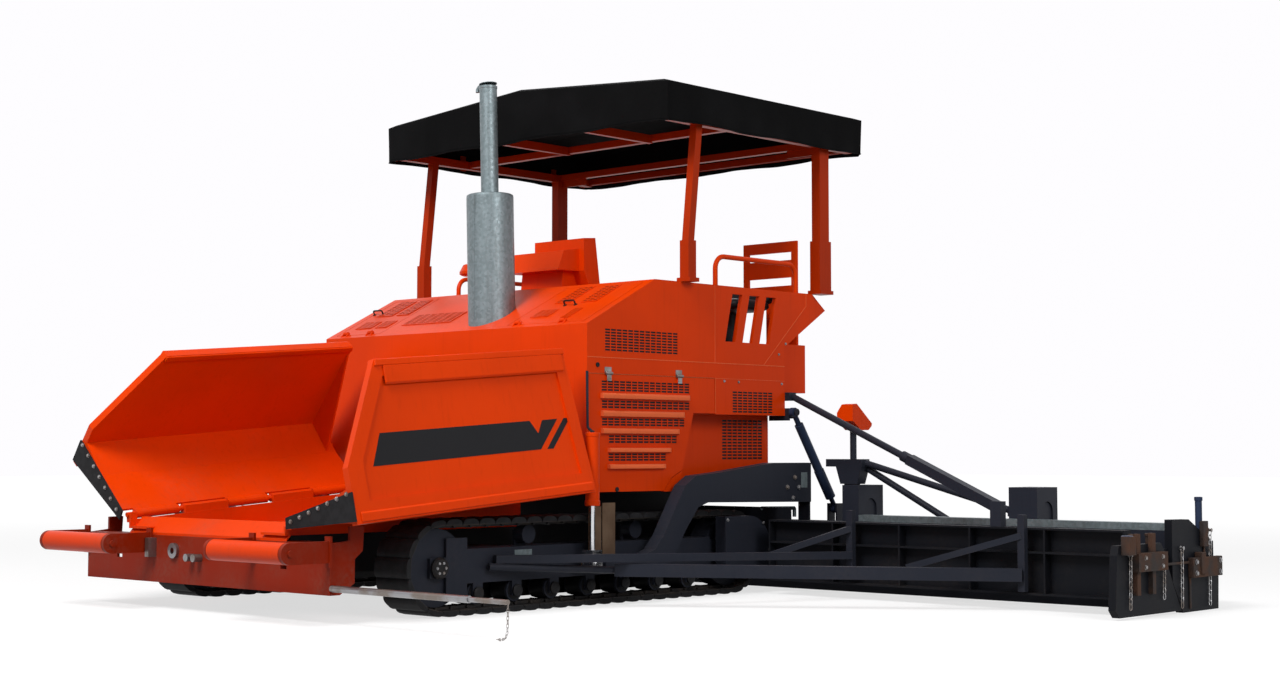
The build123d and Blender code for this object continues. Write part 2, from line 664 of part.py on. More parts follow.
def tow_arms():
    x0, x1 = towX - towT / 2, towX + towT / 2
    outline = [(towY + 80, towZ - 50), (250, 200), (393, 277), (513, 461), (647, 618), (749, 648), (armEndY, 631),
               (armEndY, 914), (1470, 915), (874, 851), (625, 831), (514, 767), (425, 638), (295, 439), (209, 349),
               (92, 310), (towY + 80, towZ + 40)]
    arm = side_plate(outline, (x0, x1))
    tongue = block((towX - 20, towX + 20), (towY, towY + 100), (towZ - 45, towZ + 45))
    tongue = tongue + rod((towX - 20, towY, towZ), (towX + 20, towY, towZ), towEye)
    arm = arm + tongue - rod((x0 - 1, towY, towZ), (x1 + 1, towY, towZ), towPin + bearingGap)
    keep_both("tow_arms", arm)
    # clevis that holds the arm's eye, the levelling cylinder above it and its guide
    clevis = [block((towX - 46, towX - 26), (towY - 45, towY + 45), (towZ - 45, towZ + 95)),
              block((towX + 26, towX + 46), (towY - 45, towY + 45), (towZ - 45, towZ + 95)),
              block((towX - 46, towX + 46), (towY - 45, towY + 45), (towZ + 70, towZ + 95)),
              rod((towX - 60, towY, towZ), (towX + 60, towY, towZ), towPin)]
    clevis.append(rod((towX, towY, towZ + 90), (towX, towY, 660), 18))
    keep_both("tow_slides", *clevis)
    guide = block((bodyHalf + 5, bodyHalf + 34), (towY + 50, towY + 140), (towZ - 40, 640))
    keep_both("tow_guides", guide, block((frameOut + 0.3, bodyHalf + 34), (towY + 50, towY + 140), (towZ - 40, towZ + 60)))
    # cylinder body with a bracket off the hood's front wall
    keep_both("leveling_cylinders", rod((towX, towY, 650), (towX, towY, 1115), 46, 18.5),
              block((bodyHalf - 90, towX - 30), (towY - 40, frontY - 0.3), (960, 1060)))


def lift_cylinders():
    top, eye = Vector(*liftTop), Vector(*liftEye)
    along = (eye - top).normalized()
    full = (eye - top).length

    def run(start, end, radius, bore=0):
        return rod(tuple(top + along * start), tuple(top + along * end), radius, bore)

    barrel = run(20, 120, 20) + run(110, liftMouth, 33) - run(150, liftMouth + 5, 18 + bearingGap)
    barrel = barrel + pin_along_x(liftTop, 18, 34) - pin_along_x(liftTop, 30, liftPin + bearingGap)
    keep_pair("lift_barrel", barrel)
    piston = run(340, full - 20, 18) + run(sleeve[0], sleeve[1], 38, 33 + bearingGap) + run(sleeve[1] - 1, sleeve[1] + 10, 38)
    piston = piston + pin_along_x(liftEye, 18, 36) - pin_along_x(liftEye, 30, liftPin + liftPlay)
    keep_pair("lift_rod", piston)
    x, y, z = liftTop
    keep_both("lift_mounts",
              block((bodyHalf - 150, x - 24), (rearY + 0.3, rearY + 14), (z - 60, z + 30)),
              block((x - 40, x - 24), (rearY + 0.3, y + 40), (z - 45, z + 30)),
              rod((x - 40, y, z), (x + 38, y, z), liftPin), rod((x + 32, y, z), (x + 38, y, z), 26))
    x, y, z = liftEye
    return [block((x - 46, x - 32), (y - 40, y + 40), (420, z + 36)),
            block((x + 32, x + 46), (y - 40, y + 40), (420, z + 36)),
            rod((x - 46, y, z), (x + 46, y, z), liftPin)]


def pin_along_x(centre, half, radius):
    x, y, z = centre
    return rod((x - half, y, z), (x + half, y, z), radius)


# ----------------------------------------------------------- auger channel

def augers():
    # shaft with a helical ribbon, one per side
    x0, x1 = augerX
    shaft = rod((x0, augerY, augerZ), (x1, augerY, augerZ), augerShaft)
    blades = []
    step = 45
    lead = flightPitch
    first = x0 + 85
    count = int((x1 - first - 30) / lead * 360 / step)
    for i in range(count):
        a = radians(i * step)
        b = radians((i + 1) * step)
        x = first + i * step * lead / 360
        xb = x + step * lead / 360
        ring = Plane(origin=(x, 0, 0), x_dir=(0, 1, 0), z_dir=(1, 0, 0))
        outer = [(augerR * cos(a), augerR * sin(a)), (augerR * cos(b), augerR * sin(b)),
                 (30 * cos(b), 30 * sin(b)), (30 * cos(a), 30 * sin(a))]
        blades.append(extrude(ring * polygon(outer), amount=xb - x + 4))
    shape = joined([shaft] + [Pos(0, augerY, augerZ) * b for b in blades])
    keep_pair("auger", shape)
    case = block((-70, 70), (augerY - 80, augerY + 80), (augerZ - 110, 640))
    case = case - rod((-71, augerY, augerZ), (71, augerY, augerZ), augerShaft + bearingGap)
    keep("auger_case", case, block((-600, 600), (girderY[1] + 20, augerY + 80), (640, sillZ - 0.3)))


def channel_plates():
    x0, x1 = 1600, screedHalf - 40
    y = 1350
    top, rib, low = channelTop, 360, 100
    pieces = [block((x0, x1), (y, y + 12), (low, top))]
    for z in (low, rib, top - 12):
        pieces.append(block((x0, x1), (y - 70, y), (z, z + 12)))
    bays = round((x1 - x0) / 600)
    for i in range(bays + 1):
        x = x0 + i * (x1 - x0 - 12) / bays
        pieces.append(block((x, x + 12), (y - 70, y), (low, top)))
    # inner channel plate behind the tractor's drive, carried by the girders
    inner = girderY[1] + 1
    pieces.append(block((girderX, 1620), (inner, inner + 12), (130, 600)))
    pieces.append(block((0, girderX + 1), (inner, inner + 12), (130, tunnelFloorZ - 20)))
    pieces.append(block((1600, 1620), (y + 12, inner + 12), (130, top)))
    keep_both("channel_plates", *pieces)


def braces():
    y = 1265
    post1 = block((innerPostX, innerPostX + 50), (y - 25, y + 14.7), (140, 600))
    post2 = block((outerPostX, outerPostX + 50), (y - 25, y + 14.7), (120, 600))
    lower = bar((kneeX, -280, 240), (outerPostX + 20, y - 15, 225), 80, 80)
    front = rod((frameOut + 30, -1130, 285), (kneeX, -280, 240), 24)
    second = bar((frameOut + 30, -1075, 330), (innerPostX + 30, y - 15, 300), 50, 50)
    keep_both("channel_braces", post1, post2, lower, front, second,
              bar((innerPostX - 340, 780, 290), (innerPostX + 30, y - 10, 480), 40, 40),
              bar((outerPostX - 670, 1000, 255), (outerPostX + 20, y - 10, 470), 40, 40))
    # long strut: round rod, collar, then a thick square body
    top, foot = Vector(bodyHalf + 25, rearY + 60, 1395), Vector(outerPostX - 190, 1330, 640)
    joint, collar = [tuple(top + (foot - top) * share) for share in (0.57, 0.60)]
    keep_both("channel_struts", rod(tuple(top), joint, 24), rod(joint, collar, 36), bar(collar, tuple(foot), 66, 66),
              block((outerPostX - 230, outerPostX - 150), (1290, 1350), (channelTop + 0.3, 680)),
              block((bodyHalf - 70, bodyHalf + 40), (rearY + 0.3, rearY + 80), (1365, 1425)))


# ------------------------------------------------------------------ screed

def screed():
    section = [(screedFront, 0), (screedBack, 0), (screedBack, 300), (2300, 430), (1910, screedTopZ),
               (screedFront, screedTopZ)]
    boxes = []
    for x, y in screedBoxes:
        # arched recess in the outer side
        middle = (y[0] + y[1]) / 2
        arch = block((x[1] - 12, x[1] + 1), (middle - 70, middle + 70), (screedTopZ, 590))
        arch = arch + rod((x[1] - 12, middle, 590), (x[1] + 1, middle, 590), 70)
        boxes.append(block(x, y, (420, boxTop)) - arch)
    eyes = lift_cylinders()
    extension = joined([side_plate(section, (1500, screedHalf)), *boxes, *eyes])
    keep("screed_body", side_plate(section, (-1500, 1500)), extension, other_side(extension))
    strip = (screedBoxes[0][0][1] + 20, screedHalf - 10)
    keep_both("screed_strips", block(strip, (1900, 2000), (screedTopZ + 0.3, 545)))
    keep("screed_walkway", block((90 - screedHalf, screedHalf - 90), (screedBack + 0.3, 2600), (250, 270)),
         block((-1500, 1500), (2590, rearMost), (250, 270)))
    x = towX - towT / 2
    keep_both("arm_mounts", block((x - 20, x + 30), armMountY, (screedTopZ + 0.3, 914)),
              block((x - 20, x + 80), (armEndY + 0.3, armEndY + 16), (screedTopZ + 0.3, 880)))


def screed_top(y):
    return screedTopZ - (y - 1910) * 70 / 390


def masts():
    # bracket of the control box, its post, and the two round braces to the screed
    x, y = mastX, mastY
    trough = [(x - 90, boxTop + 5), (x + 60, boxTop + 5), (x + 100, 885), (x + 100, 940), (x - 220, 940),
              (x - 220, 885), (x - 130, 885)]
    keep_both("screed_masts", cross_plate(trough, (y - 40, y + 60)), rod((x, y, 930), (x, y, 1150), 24),
              block((x - 85, x + 15), (y, y + 60), (screed_top(y) + 0.3, boxTop + 6)),
              rod((x + 70, y + 20, 918), (screedBoxes[1][0][0] - 30, y + 20, 589), 24),
              rod((x + 50, y + 50, 893), (2515, y + 90, 500), 24),
              block((screedBoxes[1][0][0] - 60, screedBoxes[1][0][0] - 0.3), (y - 10, y + 50), (555, 622)),
              block((2490, 2540), (y + 70, y + 110), (screed_top(y + 70) + 0.3, 500)))
    # control box: sloping desk with a chamfered front corner
    side = [(1960, 1215), (1960, 1335), (2010, 1340), (2194, 1199), (2188, 1179), (2150, 1150.3), (2060, 1150.3)]
    desk = side_plate(side, (x - 42, x + 100))
    corner = [(x - 42, 1275), (x + 7, 1341), (x + 101, 1341), (x + 101, 1100), (x - 42, 1100)]
    keep_both("control_boxes", desk & cross_plate(corner, (1900, 2300)))


def end_gates():
    x = (gateX, gateX + gateT)
    web = block((gateX, gateX + 20), (1500, 1760), (60, 400))
    keep_both("end_gates", side_plate(gateFront, x), side_plate(gateBack, x), web,
              block((screedHalf + 0.3, gateX + 1), (1900, 2280), (60, 380)))
    clamps = []
    for y0, y1, z0, z1, out in gateClamps:
        clamps.append(block((x[1] + 0.3, x[1] + out), (y0, y1), (z0, z1)))
    # bar that ties the pin socket to the clamp
    clamps.append(block((x[1] + 0.3, x[1] + 12), (1100, 1200), (384, 400)))
    keep_both("gate_clamps", *clamps)


def pointer():
    # steering pointer that sticks out of the front beam's left end
    y, z = beamFaceY + 15, 210
    tip = 2749
    keep("pointer_rod", rod((beamHalf + 0.3, y, z), (2450, y, z), 20), rod((2450, y, z), (tip, y, z), 14))
    # chain that hangs from the tip and trails on the ground
    route = [(tip, y, z - 14.3), (tip - 1, y, 110), (tip - 7, y + 2, 42),
             (tip - 44, y + 13, 8), (tip - 117, y + 34, 8)]
    path = FilletPolyline(*route, radius=chainBend)
    keep("pointer_chain", sweep(Plane(origin=path @ 0, z_dir=path % 0) * Circle(chainR), path))


for build in (chassis, conveyors, tracks, track_frames, front_beam, push_rollers, hopper, body_sides, side_doors,
              body_core, platform, canopy, exhaust, tow_arms, augers, channel_plates, braces, screed, masts,
              end_gates, pointer):
    build()

os.makedirs("parts", exist_ok=True)
for name, shape in nodes.items():
    shape.label = name
    export_step(shape, os.path.join("parts", name + ".step"))
print(len(nodes), "nodes")
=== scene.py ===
# Crawler asphalt paver: finishes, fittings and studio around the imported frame.
import json
import math

import bmesh
import bpy
import numpy as np
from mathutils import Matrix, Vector


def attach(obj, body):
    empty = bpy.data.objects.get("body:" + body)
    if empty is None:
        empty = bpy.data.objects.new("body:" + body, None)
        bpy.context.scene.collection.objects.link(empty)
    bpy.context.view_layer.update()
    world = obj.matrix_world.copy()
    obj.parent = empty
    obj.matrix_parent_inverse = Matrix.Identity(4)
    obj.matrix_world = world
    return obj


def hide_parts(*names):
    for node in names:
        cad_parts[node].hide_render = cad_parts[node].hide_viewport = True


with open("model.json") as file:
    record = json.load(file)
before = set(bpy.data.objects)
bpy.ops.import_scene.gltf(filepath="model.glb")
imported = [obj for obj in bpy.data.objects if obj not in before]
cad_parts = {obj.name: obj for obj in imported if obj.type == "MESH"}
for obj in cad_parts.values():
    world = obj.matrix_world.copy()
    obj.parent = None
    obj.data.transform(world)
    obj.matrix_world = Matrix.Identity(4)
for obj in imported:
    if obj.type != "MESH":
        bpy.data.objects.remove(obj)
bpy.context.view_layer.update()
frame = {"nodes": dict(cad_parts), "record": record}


def newGroup(name, inputs, outputs):
    group = bpy.data.node_groups.new(name, "ShaderNodeTree")
    for label, value in inputs.items():
        socket = group.interface.new_socket(label, in_out="INPUT", socket_type="NodeSocketFloat")
        socket.default_value = value
    for label in outputs:
        group.interface.new_socket(label, in_out="OUTPUT", socket_type="NodeSocketFloat")
    given, out = group.nodes.new("NodeGroupInput").outputs, group.nodes.new("NodeGroupOutput").inputs
    return Net(group), given, out


class Net:
    # short hand for adding and linking nodes in one tree
    def __init__(self, tree):
        self.tree = tree

    def put(self, target, value):
        if isinstance(value, bpy.types.NodeSocket):
            self.tree.links.new(value, target)
        else:
            target.default_value = value

    def node(self, kind, settings=None, *placed, **named):
        # settings are the node's own, the rest goes into its inputs by number or by name
        made = self.tree.nodes.new("ShaderNode" + kind)
        for key, value in (settings or {}).items():
            setattr(made, key, value)
        for key, value in enumerate(placed):
            self.put(made.inputs[key], value)
        for key, value in named.items():
            self.put(made.inputs[key.replace("_", " ")], value)
        return made

    def math(self, operation, first, second=0.0, clamp=False):
        return self.node("Math", {"operation": operation, "use_clamp": clamp}, first, second).outputs[0]

    def times(self, first, second, clamp=False):
        return self.math("MULTIPLY", first, second, clamp)

    def plus(self, first, second, clamp=False):
        return self.math("ADD", first, second, clamp)

    def ramp(self, value, low, high):
        smooth = {"interpolation_type": "SMOOTHSTEP"}
        return self.node("MapRange", smooth, Value=value, From_Min=low, From_Max=high).outputs["Result"]

    def mix(self, factor, first, second):
        made = self.node("Mix", {"data_type": "RGBA"}, Factor=factor)
        self.put(made.inputs[6], first)
        self.put(made.inputs[7], second)
        return made.outputs[2]

    def place(self):
        return self.node("TexCoord").outputs["Object"]

    def split(self, vector):
        return self.node("SeparateXYZ", None, vector).outputs

    def noise(self, scale, detail, stretch=None):
        place = self.place()
        if stretch:
            place = self.node("Mapping", Vector=place, Scale=stretch).outputs["Vector"]
        return self.node("TexNoise", Vector=place, Scale=scale, Detail=detail).outputs["Fac"]

    def group(self, name, **values):
        return self.node("Group", {"node_tree": groups[name]}, **values).outputs


def buildEdgeWear():
    # mask = smoothstep of (1 - dot(rounded normal, normal)) times smoothstep of noise, which scatters it
    net, given, out = newGroup("edgeWear", {"Radius": 0.004, "Amount": 0.5, "Chip Scale": 40.0}, ["Mask"])
    rounded = net.node("Bevel", {"samples": 4}, Radius=given["Radius"]).outputs["Normal"]
    flat = net.node("NewGeometry").outputs["Normal"]
    dot = net.node("VectorMath", {"operation": "DOT_PRODUCT"}, rounded, flat)
    edge = net.math("SUBTRACT", 1.0, dot.outputs["Value"])
    chips = net.noise(given["Chip Scale"], 5.0)
    mask = net.times(net.ramp(edge, 0.02, 0.25), net.ramp(chips, 0.42, 0.62))
    net.put(out["Mask"], net.times(mask, given["Amount"], True))
    return net.tree


def buildDust():
    # mask = (upward slope of the normal + nearness to the ground) times two sizes of noise
    net, given, out = newGroup("dust", {"Amount": 0.3, "Ground": 0.5}, ["Mask"])
    up = net.split(net.node("NewGeometry").outputs["Normal"])["Z"]
    top = net.times(net.ramp(up, 0.2, 1.0), 0.6)
    low = net.times(net.ramp(net.split(net.place())["Z"], 0.9, 0.0), given["Ground"])
    cloud = net.times(net.ramp(net.noise(3.1, 6.0), 0.35, 0.75), net.ramp(net.noise(38.0, 4.0), 0.2, 0.8))
    mask = net.times(net.plus(top, low), cloud)
    net.put(out["Mask"], net.times(mask, given["Amount"], True))
    return net.tree


def buildSurfaceTone():
    # tone = slow noise; height = fine noise, the skin of sprayed paint
    net, given, out = newGroup("surfaceTone", {"Scale": 1.2, "Peel": 220.0}, ["Tone", "Height"])
    net.put(out["Tone"], net.noise(given["Scale"], 4.0))
    net.put(out["Height"], net.noise(given["Peel"], 2.0))
    return net.tree


def buildStreaks():
    # vertical run-off: smoothstep of noise squeezed across and stretched along Z
    net, given, out = newGroup("streaks", {"Scale": 6.0, "Amount": 0.3}, ["Mask"])
    lines = net.ramp(net.noise(given["Scale"], 6.0, (6.0, 6.0, 0.35)), 0.52, 0.74)
    net.put(out["Mask"], net.times(lines, given["Amount"], True))
    return net.tree


def buildCastGrain():
    # height = noise + 0.4 of a noise four times finer, the skin of cast or scaled steel;
    # patch = smoothstep of a much slower noise
    net, given, out = newGroup("castGrain", {"Scale": 60.0}, ["Height", "Patch"])
    fine = net.noise(net.times(given["Scale"], 4.0), 4.0)
    coarse = net.noise(given["Scale"], 6.0)
    net.put(out["Height"], net.plus(net.times(fine, 0.4), coarse))
    net.put(out["Patch"], net.ramp(net.noise(net.times(given["Scale"], 0.15), 5.0), 0.4, 0.62))
    return net.tree


def buildWeave():
    # height = |sin| of x + |sin| of y + |sin| of z, so that threads cross on every side
    net, given, out = newGroup("weave", {"Threads": 420.0}, ["Height"])
    place = net.split(net.place())
    x, y, z = [net.math("ABSOLUTE", net.math("SINE", net.times(place[label], given["Threads"])))
               for label in "XYZ"]
    net.put(out["Height"], net.plus(net.plus(x, y), z))
    return net.tree


groups = {made.name: made for made in (buildEdgeWear(), buildDust(), buildSurfaceTone(), buildStreaks(),
                                       buildCastGrain(), buildWeave())}
print("shader groups ready")


def scaled(colour, share=1.0):
    return tuple(part * share for part in colour) + (1,)


def newMaterial(name, colour, rough, shine=0.25, **more):
    made = bpy.data.materials.new(name)
    made.use_nodes = True
    made.diffuse_color = scaled(colour)
    principled = made.node_tree.nodes["Principled BSDF"]
    values = {"Base Color": scaled(colour), "Roughness": rough, "Specular IOR Level": shine}
    for key, value in {**values, **more}.items():
        principled.inputs[key.replace("_", " ")].default_value = value
    return made, Net(made.node_tree), principled.inputs


def dress(net, shader, base, rough, height, strength, distance, beneath=None):
    # last step of each finish: colour, gloss and bump, over a coarser bump where there is one
    bump = net.node("Bump", Strength=strength, Distance=distance, Height=height)
    if beneath:
        net.put(bump.inputs["Normal"], beneath)
    for key, value in (("Base Color", base), ("Roughness", rough), ("Normal", bump.outputs["Normal"])):
        net.put(shader[key], value)


primer = (0.1, 0.07, 0.05)


def paintMaterial(name, colour, rough, wear, dust, ground=0.5, under=(0.05, 0.04, 0.035), shine=0.09):
    # enamel: slow tone change, run-off, chips at edges down to the coat beneath, dust on tops, and the same
    # brownish mix colour more towards the ground
    made, net, shader = newMaterial(name, colour, rough, shine)
    tone = net.group("surfaceTone")
    base = net.mix(net.ramp(tone["Tone"], 0.35, 0.7), scaled(colour, 0.88), scaled(colour))
    base = net.mix(net.group("streaks", Amount=0.15)["Mask"], base, scaled(colour, 0.6))
    base = net.mix(net.group("edgeWear", Amount=wear)["Mask"], base, scaled(under))
    dirt = net.group("dust", Amount=dust, Ground=ground)["Mask"]
    base = net.mix(dirt, base, (0.16, 0.12, 0.09, 1))
    gloss = net.plus(net.plus(net.times(tone["Tone"], 0.16), rough - 0.08), net.times(dirt, 0.35), True)
    dress(net, shader, base, gloss, tone["Height"], 0.25, 0.0006)
    return made


def steelMaterial(name, colour, rough, metallic=1.0, patch=None, grain=60.0, depth=0.4, dust=0.2):
    # bare or scaled metal: cast grain bump, patches of a second colour, dust
    made, net, shader = newMaterial(name, colour, rough, Metallic=metallic)
    skin = net.group("castGrain", Scale=grain)
    base = net.mix(skin["Patch"], scaled(colour), scaled(patch) if patch else scaled(colour, 0.7))
    dirt = net.group("dust", Amount=dust)["Mask"]
    base = net.mix(dirt, base, (0.14, 0.12, 0.1, 1))
    gloss = net.plus(net.plus(net.times(skin["Patch"], 0.15), rough), net.times(dirt, 0.3), True)
    dress(net, shader, base, gloss, skin["Height"], depth, 0.0012)
    return made


def zincMaterial(name):
    # galvanised sheet: crystal spangle, each Voronoi cell with its own tone and gloss, dulled by run-off
    made, net, shader = newMaterial(name, (0.2, 0.24, 0.25), 0.42, Metallic=0.6)
    cells = net.node("TexVoronoi", {"feature": "F1"}, Scale=55.0, Vector=net.place())
    tone = net.node("SeparateColor", None, cells.outputs["Color"]).outputs
    base = net.mix(tone[0], (0.155, 0.195, 0.205, 1), (0.215, 0.26, 0.275, 1))
    base = net.mix(net.group("streaks", Amount=0.4)["Mask"], base, (0.12, 0.135, 0.135, 1))
    gloss = net.plus(net.times(tone[1], 0.18), 0.34)
    dress(net, shader, base, gloss, net.group("surfaceTone", Peel=90.0)["Height"], 0.2, 0.0008)
    return made


def clothMaterial(name, colour, rough=0.8):
    # coated canvas: faint wrinkles in tone and bump, the weave on top of them, soft sheen
    made, net, shader = newMaterial(name, colour, rough, 0.05, Sheen_Weight=0.005, Sheen_Roughness=0.5)
    tone = net.group("surfaceTone", Scale=2.2, Peel=14.0)
    base = net.mix(net.ramp(tone["Tone"], 0.4, 0.7), scaled(colour), scaled(colour, 1.9))
    wrinkles = net.node("Bump", Strength=0.5, Distance=0.004, Height=tone["Height"]).outputs["Normal"]
    dress(net, shader, base, rough, net.group("weave")["Height"], 0.35, 0.0006, wrinkles)
    return made


def rubberMaterial(name, colour, rough=0.7):
    # rubber or vinyl: fine grain, patches of a lighter tone, a little dust
    made, net, shader = newMaterial(name, colour, rough, 0.15)
    skin = net.group("castGrain", Scale=110.0)
    base = net.mix(skin["Patch"], scaled(colour), scaled(colour, 1.6))
    base = net.mix(net.group("dust", Amount=0.2, Ground=0.4)["Mask"], base, (0.08, 0.07, 0.06, 1))
    dress(net, shader, base, rough, skin["Height"], 0.35, 0.0008)
    return made


materials = {
    "orange_paint": paintMaterial("orangePaint", (0.8, 0.05, 0.0), 0.36, 0.25, 0.25, 1.2),
    "dark_paint": paintMaterial("blueBlackPaint", (0.022, 0.025, 0.036), 0.42, 0.35, 0.15, under=primer),
    "black_paint": paintMaterial("chassisBlack", (0.0075, 0.0075, 0.009), 0.5, 0.3, 0.2, 0.6, primer, 0.15),
    "track_steel": steelMaterial("trackSteel", (0.02, 0.019, 0.02), 0.55, 0.4, (0.04, 0.033, 0.029), 70.0,
                                 0.5, 0.3),
    "bare_steel": steelMaterial("groundSteel", (0.3, 0.3, 0.31), 0.32, 1.0, (0.2, 0.17, 0.15), 45.0, 0.15),
    "galvanised": zincMaterial("galvanisedSheet"),
    "rusty_steel": steelMaterial("brownScale", (0.026, 0.019, 0.017), 0.7, 0.1, (0.075, 0.036, 0.022), 45.0,
                                 0.7),
    "guideBrown": steelMaterial("guideBrown", (0.11, 0.065, 0.038), 0.8, 0.0, (0.17, 0.11, 0.07), 30.0, 0.8),
    # darker orange as painted shade, for the front beam and roller arms under the rollers and hopper
    "shadedOrange": paintMaterial("beamShadedOrange", (0.27, 0.014, 0.0), 0.4, 0.4, 0.3, 1.4),
    # darker orange as painted shade, for the canopy posts under the canopy
    "postShadedOrange": paintMaterial("postShadedOrange", (0.46, 0.03, 0.0), 0.4, 0.3, 0.2, 1.4),
    "rubber": rubberMaterial("flapRubber", (0.01, 0.01, 0.011)),
    "canvas": clothMaterial("coatedCanvas", (0.0024, 0.0024, 0.0026)),
    "seat_vinyl": rubberMaterial("seatVinyl", (0.014, 0.014, 0.016), 0.5),
    "engine_iron": steelMaterial("engineIron", (0.07, 0.07, 0.075), 0.6, 0.3),
    "chain_steel": steelMaterial("chainZinc", (0.42, 0.42, 0.43), 0.35, 1.0, (0.22, 0.19, 0.17), 80.0, 0.2),
    # lighter orange as a painted highlight, for the folded seams and the door awnings
    "highlightOrange": paintMaterial("highlightOrange", (0.86, 0.15, 0.045), 0.3, 0.1, 0.0),
    "rearBlack": paintMaterial("rearBlack", (0.006, 0.007, 0.01), 0.55, 0.25, 0.15,
                               under=(0.08, 0.055, 0.04)),
    "barrelBlue": paintMaterial("barrelBlue", (0.03, 0.045, 0.09), 0.36, 0.2, 0.1),
    "chrome": steelMaterial("chromedRod", (0.62, 0.63, 0.65), 0.1, 1.0, (0.55, 0.55, 0.56), 30.0, 0.02,
                            0.05),
}
# solids whose finish differs from their slot's usual one
ownFinish = {"tow_guides": "guideBrown", "canopy_frame": "postShadedOrange", "front_beam": "shadedOrange",
             "roller_arms": "shadedOrange", "tow_slides": "chrome",
             **dict.fromkeys(("channel_plates", "end_gates", "screed_walkway"), "rearBlack"),
             **dict.fromkeys(("lift_barrel_left", "lift_barrel_right", "lift_rod_left", "lift_rod_right"),
                             "barrelBlue")}
slotOf = {row["node"]: row["material_slot"] for row in frame["record"]["subparts"]}
for nodeName, node in frame["nodes"].items():
    node.data.materials.clear()
    node.data.materials.append(materials[ownFinish.get(nodeName, slotOf[nodeName])])
print("materials ready")


xWay, yWay, zWay = (1, 0, 0), (0, 1, 0), (0, 0, 1)


def ringsShape(rings, ends=True):
    # quads between neighbours of a (rings, points, 3) array of closed rings, and a face on each end
    count, around = rings.shape[:2]
    index = np.arange(count * around).reshape(count, around)
    beside = np.roll(index, -1, 1)
    faces = np.stack([index[:-1], index[1:], beside[1:], beside[:-1]], -1).reshape(-1, 4).tolist()
    if ends:
        faces += [index[0, ::-1].tolist(), index[-1].tolist()]
    return rings.reshape(-1, 3), faces


def merged(*shapes):
    # one shape out of several, with the face numbers shifted along
    points, faces, start = [], [], 0
    for more, theirs in shapes:
        points.append(more)
        faces += [[corner + start for corner in face] for face in theirs]
        start += len(more)
    return np.vstack(points), faces


def copied(points, faces):
    # (copies, points, 3) with the same faces on every copy
    count = points.shape[1]
    more = [[corner + step * count for corner in face] for step in range(len(points)) for face in faces]
    return points.reshape(-1, 3), more


def bothWays(half):
    # profile of (along, out) that runs back through its mirror image
    return half + [(-along, out) for along, out in half[::-1]]


def repeated(shape, offsets):
    # the same shape at every offset
    offsets = np.atleast_2d(np.asarray(offsets, float))
    return copied(shape[0][None] + offsets[:, None], shape[1])


def shifted(shape, offset):
    return shape[0] + np.asarray(offset, float), shape[1]


def turned(shape, axis, degrees):
    # turned about the axis 0, 1 or 2
    angle = math.radians(degrees)
    first, second = [(1, 2), (2, 0), (0, 1)][axis]
    points, out = shape[0], shape[0].copy()
    out[:, first] = points[:, first] * math.cos(angle) - points[:, second] * math.sin(angle)
    out[:, second] = points[:, first] * math.sin(angle) + points[:, second] * math.cos(angle)
    return out, shape[1]


def mirrored(shape):
    # the machine's other side: x becomes -x and each face runs the other way
    return shape[0] * np.array([-1.0, 1, 1]), [face[::-1] for face in shape[1]]


def laidOn(shape, origin, u, v, out):
    # flat shape given in (u, v, height) put on a surface with those three directions
    return shape[0] @ np.array([u, v, out], float) + np.asarray(origin, float), shape[1]


def boxesShape(rows):
    # rows of x0, x1, y0, y1, z0, z1
    rows = np.atleast_2d(np.asarray(rows, float))
    pick = np.array([[0, 2, 4], [1, 2, 4], [1, 3, 4], [0, 3, 4], [0, 2, 5], [1, 2, 5], [1, 3, 5], [0, 3, 5]])
    sides = np.array([[0, 3, 2, 1], [4, 5, 6, 7], [0, 1, 5, 4], [1, 2, 6, 5], [2, 3, 7, 6], [3, 0, 4, 7]])
    faces = sides[None] + 8 * np.arange(len(rows))[:, None, None]
    return rows[:, pick].reshape(-1, 3), faces.reshape(-1, 4).tolist()


def prismShape(outline, axis, low, high):
    # flat outline in the two other coordinates, carried from low to high along one axis
    outline = np.asarray(outline, float)
    return ringsShape(np.stack([np.insert(outline, axis, level, axis=1) for level in (low, high)]))


def unit(vectors):
    return vectors / np.linalg.norm(vectors, axis=-1, keepdims=True)


def circle(count):
    # cosine and sine, as columns, at even steps of a full turn
    angle = np.linspace(0, 2 * math.pi, count, endpoint=False)[:, None]
    return np.cos(angle), np.sin(angle)


def tubeShape(path, radius, sides=14, ends=True):
    # circle of the given radius carried along the path, square to its direction
    path = np.asarray(path, float)
    along = unit(np.gradient(path, axis=0))
    steady = np.eye(3)[np.argmin(np.abs(along).max(axis=0))]
    side = unit(np.cross(along, steady))
    up = np.cross(side, along)
    cosine, sine = circle(sides)
    radius = np.broadcast_to(np.asarray(radius, float), len(path))[:, None, None]
    return ringsShape(path[:, None] + radius * (cosine * side[:, None] + sine * up[:, None]), ends)


def bentPipe(corners, bend, steps=6):
    # straight runs joined by quarter-like arcs: each corner becomes a short quadratic curve
    corners = np.asarray(corners, float)
    middle = corners[1:-1]
    before, after = unit(corners[:-2] - middle) * bend, unit(corners[2:] - middle) * bend
    t = np.linspace(0, 1, steps)[None, :, None]
    curve = middle[:, None] + before[:, None] * (1 - t) ** 2 + after[:, None] * t ** 2
    return np.vstack([corners[:1], curve.reshape(-1, 3), corners[-1:]])


def turnedShape(profile, base, direction, sides=28):
    # profile of (radius, height) turned about a line from base along direction; ends are closed
    profile = np.asarray(profile, float)
    direction = unit(np.asarray(direction, float))
    side = unit(np.cross(direction, np.eye(3)[np.argmin(np.abs(direction))]))
    up = np.cross(direction, side)
    cosine, sine = circle(sides)
    return ringsShape(np.asarray(base, float) + profile[:, None, 1:] * direction
                      + profile[:, None, :1] * (cosine * side + sine * up))


